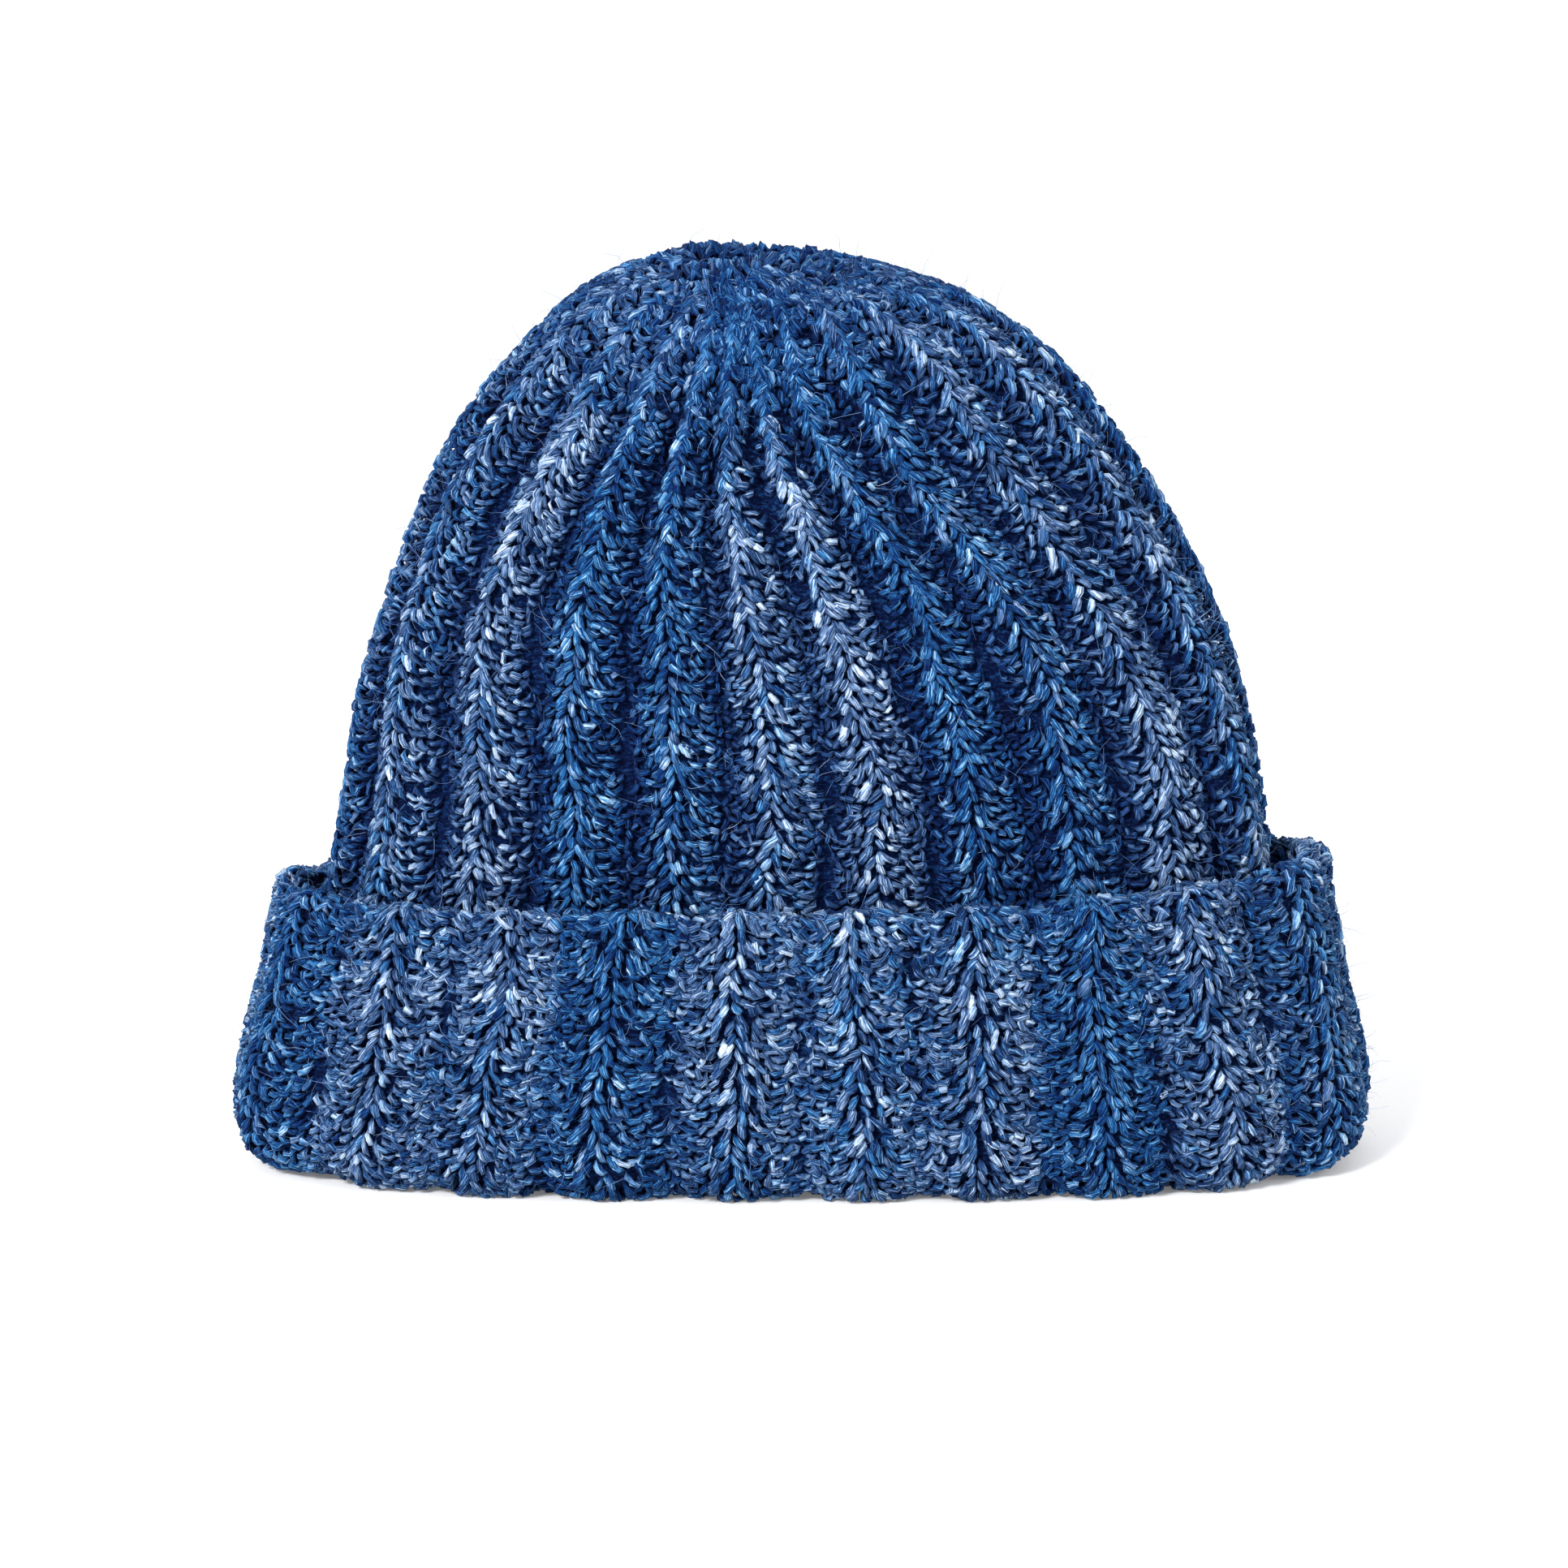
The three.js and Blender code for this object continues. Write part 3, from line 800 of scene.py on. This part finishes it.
# %% Charts of grains
CHART = ("side", "beside", "offset", "rows", "slant", "stray", "length", "girth", "lift", "bow")
CROWN_LEGS = (
    (-1, 0.122, -0.45, 1, -68, 9, 4.8, 1.1, 0.7, 0.15),
    (-1, 0.052, 0.00, 2, -64, 11, 4.1, 0.95, 0.8, 0.1),
    (1, 0.055, 0.20, 2, -62, 11, 4.0, 0.86, 0.75, 0.1),
    (1, 0.135, -0.40, 1, -54, 11, 4.4, 0.9, 0.6, 0.2),
)
CROWN_FLANKS = (
    (1, 0.190, 0.00, 2, -42, 20, 3.8, 0.78, 0.4, 0.35),
    (1, 0.262, 0.10, 2, -22, 26, 3.9, 0.82, 0.35, 0.5),
    (1, 0.340, 0.30, 2, -4, 30, 3.8, 0.84, 0.4, 0.6),
    (1, 0.418, 0.00, 3, 18, 30, 3.5, 0.78, 0.5, 0.6),
    (1, 0.490, 0.20, 2, 48, 28, 3.5, 0.72, 0.2, 0.8),
)
CROWN_VALLEYS = (
    (-1, 0.185, 0.00, 2, -42, 26, 3.7, 0.80, 0.25, 0.3),
    (-1, 0.255, 0.20, 2, -14, 34, 3.7, 0.84, 0.15, 0.4),
    (-1, 0.325, 0.10, 2, 8, 36, 3.6, 0.84, 0.1, 0.4),
    (-1, 0.395, 0.40, 3, 24, 38, 3.3, 0.74, 0.0, 0.5),
)
CUFF_LEGS = (
    (-1, 0.102, -0.45, 1, -70, 8, 5.4, 1.2, 0.65, 0.15),
    (-1, 0.044, 0.00, 2, -64, 11, 4.3, 0.95, 0.7, 0.1),
    (1, 0.052, 0.20, 2, -62, 12, 4.1, 0.9, 0.65, 0.1),
    (1, 0.125, -0.40, 1, -50, 12, 4.4, 0.92, 0.55, 0.2),
)
CUFF_FLANKS = tuple((side, *rest) for side in (1, -1) for rest in (
    (0.180, 0.00, 3, -38, 21, 3.9, 0.86, 0.35, 0.4),
    (0.245, 0.20, 2, -22, 28, 4.0, 0.92, 0.25, 0.6),
    (0.310, 0.40, 3, -4, 32, 4.0, 0.92, 0.2, 0.8),
    (0.375, 0.10, 3, 8, 34, 3.8, 0.90, 0.1, 0.9),
    (0.440, 0.30, 3, 10, 34, 3.8, 0.88, 0.1, 0.9),
    (0.495, 0.10, 1, 8, 34, 3.8, 0.90, 0.0, 0.8),
))
FOLD_STITCH = 16.6  # from here on the cuff's stitches lie under the fold
NARROW = 20.0  # mm; where ribs are narrower than this, only a share of the flanks' grains find room
print("grains to a crown stitch:", sum(row[3] for row in CROWN_LEGS + CROWN_FLANKS + CROWN_VALLEYS))


def wander(u, v, seed):
    return 0.045 * np.sin(v * 0.42 + u * 2.1 + seed) + 0.03 * np.sin(v * 1.07 + u * 4.7 + seed * 2)


def stitch_places(first, last):
    u, v = np.meshgrid(np.arange(RIB_COUNT, dtype=float), np.arange(first, last), indexing="ij")
    stagger = rng.uniform(0, 1, size=(RIB_COUNT, 1))
    u = u + rng.normal(size=v.shape) * 0.014
    v = v + stagger + rng.normal(size=v.shape) * 0.11
    return u.ravel(), v.ravel()


def lay_chart(cloth, u, v, chart, tones, phase, count, up=1.0, floor=False):
    """The grains of a chart at every stitch of u and v, thinned out where the ribs are narrow.

    Under the fold, where the hat stands on them, fewer will do.
    """
    strands = []
    hidden = np.where((cloth is cuff_face) & (v > FOLD_STITCH), 0.5, 0.0)
    for side, beside, offset, rows, slant, stray, length, girth, lift, bow in chart:
        for row in range(rows):
            braid = beside < 0.16
            width = cloth.rib_width(u, v)
            room = np.clip((width - 3.0) / (NARROW - 3.0), 0, 1)
            keep = (rng.uniform(size=len(u)) < room) | (braid & (beside < 0.1) & (width > 4.0))
            keep |= (width > 8.0) & braid
            keep &= rng.uniform(size=len(u)) > hidden
            at_u, at_v = u[keep], v[keep]
            n = len(at_u)
            if n == 0:
                continue
            jitter = 0.6 if braid else 1.0
            placed_u = at_u + wander(at_u, at_v, phase) + side * (beside + 0.016 * jitter * rng.normal(size=n))
            placed_v = at_v + up * (offset + (row + 0.14 * jitter * rng.normal(size=n)) / rows)
            spread = np.clip(1 + 0.2 * rng.normal(size=n), 0.65, 1.5)
            laid = lay_grains(
                cloth, placed_u, placed_v, side,
                np.radians(slant + stray * rng.normal(size=n)),
                length * spread,
                girth * (1 + 0.11 * rng.normal(size=n)),
                lift + 0.28 * jitter * rng.normal(size=n),
                bow + 0.3 * rng.normal(size=n),
                count, up, floor)
            tone = np.clip(tone_of(tones, at_u, at_v, phase) + 0.1 * rng.normal(size=n), 0, 1)
            strands.append((*laid, tone, flecks_for(tone, n)))
    return strands


def spin_halves(part, cloth, u, v, sets, tones, phase, **how):
    """Front and back are pieces of their own. The back's grains have a ring of faces less."""
    behind = cloth.at(u, v, np.zeros(len(u)))[:, 1] >= 0
    for half, mask, less in (("front", ~behind, 0), ("back", behind, 1)):
        for kind, chart, rings, sides in sets:
            strands = lay_chart(cloth, u[mask], v[mask], chart, tones, phase, rings - less, **how)
            spin(f"{part}_{half}_{kind}", strands, heather, sides)


# %% [markdown]
# ## The crown's grains
# The ribs narrow towards the top until only the braids are left, and these run on side by side to the gather.

# %% Crown grains
BRAID_ASIDE = -0.285
VISIBLE_FROM = 8  # the stitch where the crown comes out from behind the cuff
u, v = stitch_places(VISIBLE_FROM, CROWN_STITCHES - 4)
crown_sets = (("braids", CROWN_LEGS, 5, 5), ("flanks", CROWN_FLANKS, 4, 4), ("valleys", CROWN_VALLEYS, 4, 4))
spin_halves("crown", crown_face, u + BRAID_ASIDE, v, crown_sets, CROWN_TONES, 0.0)

# %% [markdown]
# Around the gather no stitch has room for its whole chart. The grains there crowd together and point to
# the gather, so they are laid in rings, as many to a ring as fit side by side.

# %% Grains around the gather
top_strands = []
TOP_FROM, TOP_TO, TOP_STEP, TOP_BESIDE = 31.5, 42.8, 0.42, 2.15
TOP_SINK = 0.3  # mm that the last grains sink into the hole's dimple for each stitch
TOP_SHADE = 0.2  # shade painted on grains that crowd this close, so the top, which faces the lights, is no lighter than the front
for at_v in np.arange(TOP_FROM, TOP_TO, TOP_STEP):
    ring_width = crown_face.width[int(at_v * crown_face.steps)].mean() * RIB_COUNT
    crowd = np.clip((at_v - TOP_FROM) / 6.5, 0, 1)
    n = max(int(ring_width / TOP_BESIDE), 5)
    place = (np.arange(n) + rng.uniform() + 0.3 * rng.normal(size=n)) / n * RIB_COUNT
    place = place[rng.uniform(size=n) < crowd]
    n = len(place)
    if n == 0:
        continue
    ring_v = at_v + 0.12 * rng.normal(size=n)
    points, radius, shade, out = lay_grains(
        crown_face, place, ring_v, 1, np.radians(90 + (28 + 30 * crowd) * rng.normal(size=n)),
        3.8 * (1 + 0.18 * rng.normal(size=n)), 0.95 * (1 + 0.12 * rng.normal(size=n)),
        0.3 + 0.15 * rng.normal(size=n) - TOP_SINK * max(at_v - 40.0, 0), 0.3 * rng.normal(size=n), 4)
    tone = np.clip(tone_of(CROWN_TONES, place, ring_v, 0.0) + 0.1 * rng.normal(size=n), 0, 1)
    # The gather's grains get more painted shade the more they crowd.
    top_strands.append((points, radius, shade + TOP_SHADE * crowd, out, tone, flecks_for(tone, n)))
spin("crown_gather", top_strands, heather, 5)

# %% [markdown]
# ## The cuff's grains
# The cuff shows the strip's other face, so its braids lie between those of the crown.
# It is stretched wider and lies flatter, and its stitches run on round the fold to the inside.

# %% Cuff grains
CUFF_BRAID_ASIDE = -0.09
u, v = stitch_places(RIM_STITCH + 0.2, CUFF_STITCHES)
keep = v < CUFF_STITCHES - 0.2
u = u + CUFF_PHASE + CUFF_BRAID_ASIDE
cuff_sets = (("braids", CUFF_LEGS, 5, 5), ("flanks", CUFF_FLANKS, 4, 4))
spin_halves("cuff", cuff_face, u[keep], v[keep], cuff_sets, CUFF_TONES, 1.7, up=-1.0, floor=True)

# %% [markdown]
# The rim is the strip's side edge. Its turning stitches lie along it like a rope of slanting grains,
# and more rows of them reach down behind the rim.

# %% Rim grains
rim_strands = []
RIM_ROWS = ((0.9, 4, -38, 5.0, 0.85), (0.35, 4, -20, 5.2, 0.95), (-0.25, 4, -30, 5.2, 0.95), (-0.9, 4, -10, 5.0, 0.9), (-1.7, 3, 20, 5.5, 1.1), (-2.5, 3, -15, 5.5, 1.1))
for row, (past_rim, to_a_rib, slant, length, girth) in enumerate(RIM_ROWS):
    n = RIB_COUNT * to_a_rib
    edge_u = (np.arange(n) + 0.37 * row + 0.18 * rng.normal(size=n)) / to_a_rib
    edge_v = RIM_STITCH + past_rim + 0.12 * rng.normal(size=n)
    points, radius, shade, out = lay_grains(
        cuff_face, edge_u, edge_v, 1, np.radians(slant + 16 * rng.normal(size=n)),
        length * (1 + 0.12 * rng.normal(size=n)), girth * (1 + 0.1 * rng.normal(size=n)),
        0.35 + 0.25 * rng.normal(size=n), 0.2 + 0.2 * rng.normal(size=n), 5, up=-1.0)
    tone = np.clip(tone_of(CUFF_TONES, edge_u, edge_v, 1.7) + 0.1 * rng.normal(size=n), 0, 1)
    # The rim's grains get less than half of the painted depth shade.
    rim_strands.append((points, radius, shade * 0.4, out, tone, flecks_for(tone, n)))
spin("cuff_rim", rim_strands, heather, 5)

# %% [markdown]
# ## Fabric behind the strands
# Between the strands one looks into the fabric's depth, which lies in shade. A thin closed wall behind them
# stands for the stitches' hidden parts, so no light comes through, and its colour is near-black blue, painted
# shade, so the deep gaps read as shadow.


# %% The wall behind the stitches
def wall_piece(name, front, back, material):
    """A closed band: up the front grid, down the back grid, joined at both edges."""
    rings = np.concatenate([front, back[::-1]])
    r, s = rings.shape[:2]
    i, j = np.meshgrid(np.arange(r), np.arange(s), indexing="ij")
    i2, j2 = (i + 1) % r, (j + 1) % s
    faces = np.stack([i * s + j, i * s + j2, i2 * s + j2, i2 * s + j], axis=-1).reshape(-1, 4)
    mesh = bpy.data.meshes.new(name)
    mesh.from_pydata((rings.reshape(-1, 3) * MM).tolist(), [], faces.tolist())
    mesh.materials.append(material)
    for polygon in mesh.polygons:
        polygon.use_smooth = True
    piece = bpy.data.objects.new(name, mesh)
    bpy.context.scene.collection.objects.link(piece)
    pieces[name] = piece
    print(name, "triangles", triangle_count(mesh))
    return piece


def painted_depth_shade_material():
    material = bpy.data.materials.new("heather_yarn_depth")
    material.use_nodes = True
    tree = material.node_tree
    shader = tree.nodes["Principled BSDF"]
    shader.inputs["Roughness"].default_value = 0.95
    shader.inputs["Specular IOR Level"].default_value = 0.1
    place = add(tree, "ShaderNodeTexCoord").outputs["Object"]
    stretched = add(tree, "ShaderNodeVectorMath", operation="MULTIPLY")
    stretched.inputs[1].default_value = (1.0, 1.0, 2.2)
    tree.links.new(place, stretched.inputs[0])
    grain = noise(tree, stretched.outputs[0], 700.0, 4.0, 0.7)
    ramp = add(tree, "ShaderNodeValToRGB")
    # Painted shade: the wall's colour runs from near black to deep blue, darker than the yarn, for the shade in the
    # gaps.
    fill_ramp(ramp, ((0.36, (0.0, 0.001, 0.014)), (0.5, (0.0, 0.005, 0.04)), (0.6, (0.003, 0.026, 0.1)), (0.72, (0.02, 0.08, 0.2))))
    tree.links.new(grain, ramp.inputs["Fac"])
    tree.links.new(ramp.outputs["Color"], shader.inputs["Base Color"])
    bump = add(tree, "ShaderNodeBump")
    bump.inputs["Strength"].default_value = 1.0
    bump.inputs["Distance"].default_value = 0.001
    tree.links.new(grain, bump.inputs["Height"])
    tree.links.new(bump.outputs["Normal"], shader.inputs["Normal"])
    return material


deep = painted_depth_shade_material()
coarse = slice(None, None, 4)
grid_v, grid_u = np.meshgrid(
    np.arange(len(crown_face.points)) / crown_face.steps, SHARES * RIB_COUNT, indexing="ij")
crowding = filled(crown_face, grid_u, grid_v)
crown_front = (crown_face.points + (crowding - 1.25)[..., None] * crown_face.normals)[::12, coarse]
crown_back = (crown_face.points - 3.7 * crown_face.normals)[::12, coarse]
wall_piece("crown_fabric", crown_front, crown_back, deep)
cuff_front = (cuff_face.points - 1.2 * cuff_face.normals)[:, coarse]
cuff_back = (cuff_face.points - 3.4 * cuff_face.normals)[:, coarse]
cuff_front[..., 2] = np.maximum(cuff_front[..., 2], 0.7)
cuff_back[..., 2] = np.maximum(cuff_back[..., 2], 2.4)
wall_piece("cuff_fabric", cuff_back[::6], cuff_front[::6], deep)

# %% [markdown]
# ## The inside
# Seen from below, the hat's inside is the strip's other face: braids between the outside's, pressed flatter.
# It is made from larger grains with fewer faces, because it is looked at through the opening only.

# %% Inside grains
INSIDE_TOP = 24  # stitches; above this the gathered ribs hide their own inside
INSIDE_CHART = (
    (-1, 0.08, -0.30, 1, -56, 9, 6.6, 1.8, 0.3, 0.1),
    (1, 0.08, -0.10, 1, -56, 9, 6.6, 1.8, 0.3, 0.1),
    (-1, 0.27, 0.10, 1, -14, 22, 8.4, 2.1, 0.3, 0.3),
    (1, 0.27, 0.30, 1, -14, 22, 8.4, 2.1, 0.3, 0.3),
)
u, v = stitch_places(0.3, INSIDE_TOP)
spin("crown_inside", lay_chart(crown_lining, u + BRAID_ASIDE + 0.5, v, INSIDE_CHART, CUFF_TONES, 1.7, 3), heather, 4)

# %% [markdown]
# ## Closing stitches
# The top is drawn together with the yarn's end, and a few plump strands cross where the hole was.

# %% Closing
hub = crown_face.points[-1].mean(axis=0)
hub[2] += 0.6
closing_paths, closing_girths = [], []
for k in range(7):
    turn = 2 * math.pi * k / 7 + 0.3
    steps = np.linspace(-1, 1, 10)
    swirl = turn + 0.9 * steps
    reach = 4.6 * np.abs(steps) ** 0.8 * np.sign(steps)
    x = hub[0] + reach * np.cos(swirl) + 0.8 * math.cos(turn + 1.6)
    y = hub[1] + reach * np.sin(swirl) + 0.8 * math.sin(turn + 1.6)
    z = hub[2] - 0.6 - 2.6 * np.abs(steps) ** 2.2 + 0.25 * (k % 3)
    closing_paths.append(np.stack([x, y, z], axis=1))
    closing_girths.append(1.1 * np.sqrt(1.02 - np.abs(steps) ** 4))
closing_girths = np.array(closing_girths)
closing_paths = np.array(closing_paths)
upward = np.broadcast_to((0.0, 0.0, 1.0), closing_paths.shape)
# The closing strands get a fixed painted shade of 0.3.
closing_strands = (closing_paths, closing_girths, 0.3 + 0 * closing_girths, upward, np.full(7, 0.15), np.zeros(7))
spin("closing_yarn", [closing_strands], heather, 8)

# %% [markdown]
# ## Fuzz
# Yarn of this kind has a halo of loose fibre ends. They are grown on the fabric's face with Geometry Nodes:
# points are scattered on it and each gets one of three bent hairs, turned and scaled at random.


# %% Geometry Nodes: loose fibre ends
def fuzz_tree():
    tree = bpy.data.node_groups.new("loose fibre ends", "GeometryNodeTree")
    ids = {
        "Face": socket(tree, "Face", "NodeSocketGeometry"),
        "Hairs per square metre": socket(tree, "Hairs per square metre", "NodeSocketFloat", 50000.0),
        "Length": socket(tree, "Length", "NodeSocketFloat", 0.005),
        "Thickness": socket(tree, "Thickness", "NodeSocketFloat", 0.00006),
        "Seed": socket(tree, "Seed", "NodeSocketInt", 3),
        "Yarn": socket(tree, "Yarn", "NodeSocketMaterial"),
    }
    socket(tree, "Fuzz", "NodeSocketGeometry", output=True)
    link = tree.links.new
    given, result = add(tree, "NodeGroupInput"), add(tree, "NodeGroupOutput")
    scatter = add(tree, "GeometryNodeDistributePointsOnFaces", distribute_method="RANDOM")
    link(given.outputs["Face"], scatter.inputs["Mesh"])
    link(given.outputs["Hairs per square metre"], scatter.inputs["Density"])
    link(given.outputs["Seed"], scatter.inputs["Seed"])

    profile = add(tree, "GeometryNodeCurvePrimitiveCircle")
    profile.inputs["Resolution"].default_value = 3
    link(given.outputs["Thickness"], profile.inputs["Radius"])
    join = add(tree, "GeometryNodeGeometryToInstance")
    bends = ((0.15, 0.5, 0.55, 0.9), (0.5, 0.55, 1.0, 0.5), (-0.3, 0.6, 0.5, 0.75))
    for mid_x, mid_z, end_x, end_z in bends:
        hair = add(tree, "GeometryNodeCurveQuadraticBezier")
        hair.inputs["Resolution"].default_value = 2
        for key, (x, y, z) in (("Start", (0, 0, -0.25)), ("Middle", (mid_x, 0.1, mid_z)), ("End", (end_x, -0.15, end_z))):
            scale = add(tree, "ShaderNodeVectorMath", operation="SCALE")
            scale.inputs[0].default_value = (x, y, z)
            link(given.outputs["Length"], scale.inputs["Scale"])
            link(scale.outputs[0], hair.inputs[key])
        taper = math_node(tree, "MULTIPLY_ADD", add(tree, "GeometryNodeSplineParameter").outputs["Factor"], -0.7, 1.0)
        tube = add(tree, "GeometryNodeCurveToMesh")
        tube.inputs["Fill Caps"].default_value = True
        link(hair.outputs["Curve"], tube.inputs["Curve"])
        link(profile.outputs["Curve"], tube.inputs["Profile Curve"])
        link(taper, tube.inputs["Scale"])
        link(tube.outputs["Mesh"], join.inputs["Geometry"])

    def random_value(kind, low, high, seed):
        node = add(tree, "FunctionNodeRandomValue", data_type=kind)
        inputs = [i for i in node.inputs if i.enabled]
        inputs[0].default_value, inputs[1].default_value = low, high
        node.inputs["Seed"].default_value = seed
        return [o for o in node.outputs if o.enabled][0]

    lean = add(tree, "FunctionNodeRotateRotation", rotation_space="LOCAL")
    link(scatter.outputs["Rotation"], lean.inputs[0])
    turn = add(tree, "FunctionNodeEulerToRotation")
    link(random_value("FLOAT_VECTOR", (-0.9, -0.9, -3.14), (0.9, 0.9, 3.14), 5), turn.inputs[0])
    link(turn.outputs[0], lean.inputs[1])
    place = add(tree, "GeometryNodeInstanceOnPoints")
    place.inputs["Pick Instance"].default_value = True
    link(scatter.outputs["Points"], place.inputs["Points"])
    link(join.outputs[0], place.inputs["Instance"])
    link(random_value("INT", 0, 2, 6), place.inputs["Instance Index"])
    link(lean.outputs[0], place.inputs["Rotation"])
    size = random_value("FLOAT", 0.35, 1.2, 7)
    link(size, place.inputs["Scale"])
    real = add(tree, "GeometryNodeRealizeInstances")
    link(place.outputs[0], real.inputs["Geometry"])
    smooth = add(tree, "GeometryNodeSetShadeSmooth")
    link(real.outputs["Geometry"], smooth.inputs["Geometry"])
    finish = add(tree, "GeometryNodeSetMaterial")
    link(smooth.outputs["Geometry"], finish.inputs["Geometry"])
    link(given.outputs["Yarn"], finish.inputs["Material"])
    link(finish.outputs["Geometry"], result.inputs[0])
    return tree, ids


# %% Fuzz on the crown and the cuff
def fuzz_material():
    material = bpy.data.materials.new("loose_fibre")
    material.use_nodes = True
    tree = material.node_tree
    shader = tree.nodes["Principled BSDF"]
    shader.inputs["Roughness"].default_value = 0.7
    shader.inputs["Specular IOR Level"].default_value = 0.2
    place = add(tree, "ShaderNodeTexCoord").outputs["Object"]
    ramp = add(tree, "ShaderNodeValToRGB")
    fill_ramp(ramp, ((0.3, (0.03, 0.12, 0.34)), (0.6, (0.16, 0.27, 0.5)), (0.8, (0.5, 0.58, 0.75))))
    tree.links.new(noise(tree, place, 120.0, 2.0), ramp.inputs["Fac"])
    tree.links.new(ramp.outputs["Color"], shader.inputs["Base Color"])
    return material


FUZZ_TREE, FUZZ_INPUTS = fuzz_tree()
fibre_ends = fuzz_material()


def grow_fuzz(name, points, density, length, seed):
    rows, cols = points.shape[:2]
    i, j = np.meshgrid(np.arange(rows - 1), np.arange(cols), indexing="ij")
    j2 = (j + 1) % cols
    faces = np.stack([i * cols + j, i * cols + j2, (i + 1) * cols + j2, (i + 1) * cols + j], axis=-1)
    guide = guide_object(name, (points.reshape(-1, 3) * MM).tolist(), [], faces.reshape(-1, 4).tolist())
    values = {"Hairs per square metre": density, "Length": length, "Seed": seed, "Yarn": fibre_ends}
    piece = grow(name, guide, FUZZ_TREE, FUZZ_INPUTS, values)
    print(name, "triangles", triangle_count(piece.data))
    return piece


from_row = VISIBLE_FROM * crown_face.steps
grow_fuzz("crown_fuzz", crown_face.points[from_row::4, ::4], 46000.0, 0.0062, 3)
rim_row = int((RIM_STITCH - 1) * cuff_face.steps)
outside = cuff_face.points[rim_row:15 * cuff_face.steps:4, ::4]
grow_fuzz("cuff_fuzz", outside[::-1], 46000.0, 0.0062, 4)

# %% [markdown]
# ## Floor and light
# The hat stands on a plain pale sheet that curves up behind it. Broad soft lights leave only faint shadows.
# The sheet also glows faintly: painted light that keeps it pale and adds a little fill to the hat.

# %% Stage and lights
DISH_FLAT = 1.8
DISH_CURVE = 1.3
rings, sides = [0.0, DISH_FLAT], 96
points, faces = [(0.0, 0.0, 0.0)], []
profile = [(DISH_FLAT * s, 0.0) for s in (0.25, 0.5, 0.75, 1.0)]
for k in range(1, 13):
    a = math.pi / 2 * k / 12
    profile.append((DISH_FLAT + DISH_CURVE * math.sin(a), DISH_CURVE * (1 - math.cos(a))))
profile.append((DISH_FLAT + DISH_CURVE, 4.5))
for radius, height in profile:
    for s in range(sides):
        a = 2 * math.pi * s / sides
        points.append((radius * math.cos(a), radius * math.sin(a), height))
for s in range(sides):
    faces.append((0, 1 + s, 1 + (s + 1) % sides))
for r in range(len(profile) - 1):
    for s in range(sides):
        a, b = 1 + r * sides + s, 1 + r * sides + (s + 1) % sides
        faces.append((a, a + sides, b + sides, b))
dish_mesh = bpy.data.meshes.new("pale_floor")
dish_mesh.from_pydata(points, [], faces)
for polygon in dish_mesh.polygons:
    polygon.use_smooth = True
glowing_paper = bpy.data.materials.new("pale_paper")
glowing_paper.use_nodes = True
glowing_paper_shader = glowing_paper.node_tree.nodes["Principled BSDF"]
glowing_paper_shader.inputs["Base Color"].default_value = (0.82, 0.82, 0.825, 1.0)
glowing_paper_shader.inputs["Roughness"].default_value = 0.95
glowing_paper_shader.inputs["Specular IOR Level"].default_value = 0.1
# Painted light: the paper glows faintly, keeping the sheet pale and lighting the hat a little.
glowing_paper_shader.inputs["Emission Color"].default_value = (1.0, 1.0, 1.0, 1.0)
glowing_paper_shader.inputs["Emission Strength"].default_value = 0.13
dish_mesh.materials.append(glowing_paper)
dish = bpy.data.objects.new("pale_floor", dish_mesh)
bpy.context.scene.collection.objects.link(dish)


def soft_light(name, place, target, size, power):
    data = bpy.data.lights.new(name, "AREA")
    data.shape = "DISK"
    data.size = size
    data.energy = power
    light = bpy.data.objects.new(name, data)
    bpy.context.scene.collection.objects.link(light)
    light.location = place
    light.rotation_euler = (Vector(target) - Vector(place)).to_track_quat("-Z", "Y").to_euler()
    return light


soft_light("key", (-0.8, -1.55, 1.08), (0, 0, 0.1), 0.5, 53)
soft_light("fill", (1.5, -1.3, 1.0), (0, 0, 0.1), 1.4, 13)
soft_light("top", (0.1, 0.3, 2.0), (0, 0, 0.1), 1.0, 3)
soft_light("back", (0.7, 1.8, 0.35), (0, 0, 0.1), 0.6, 14)
world = bpy.data.worlds.new("studio")
world.use_nodes = True
world.node_tree.nodes["Background"].inputs["Color"].default_value = (1.0, 1.0, 1.0, 1.0)
world.node_tree.nodes["Background"].inputs["Strength"].default_value = 0.64
bpy.context.scene.world = world
bpy.context.scene.view_settings.view_transform = "Standard"

# %% [markdown]
# ## Riding and replacing
# Every piece rides on the hat's one body. The stitches stand for the solids they follow.

# %% Names and sizes
REPLACED = {"crown": "crown", "cuff": "turned_up_cuff", "closing": "closing_stitches"}
for name, piece in pieces.items():
    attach(piece, "root")
    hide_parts(REPLACED[name.split("_")[0]])
print("pieces:", len(pieces), "triangles:", sum(triangle_count(p.data) for p in pieces.values()))
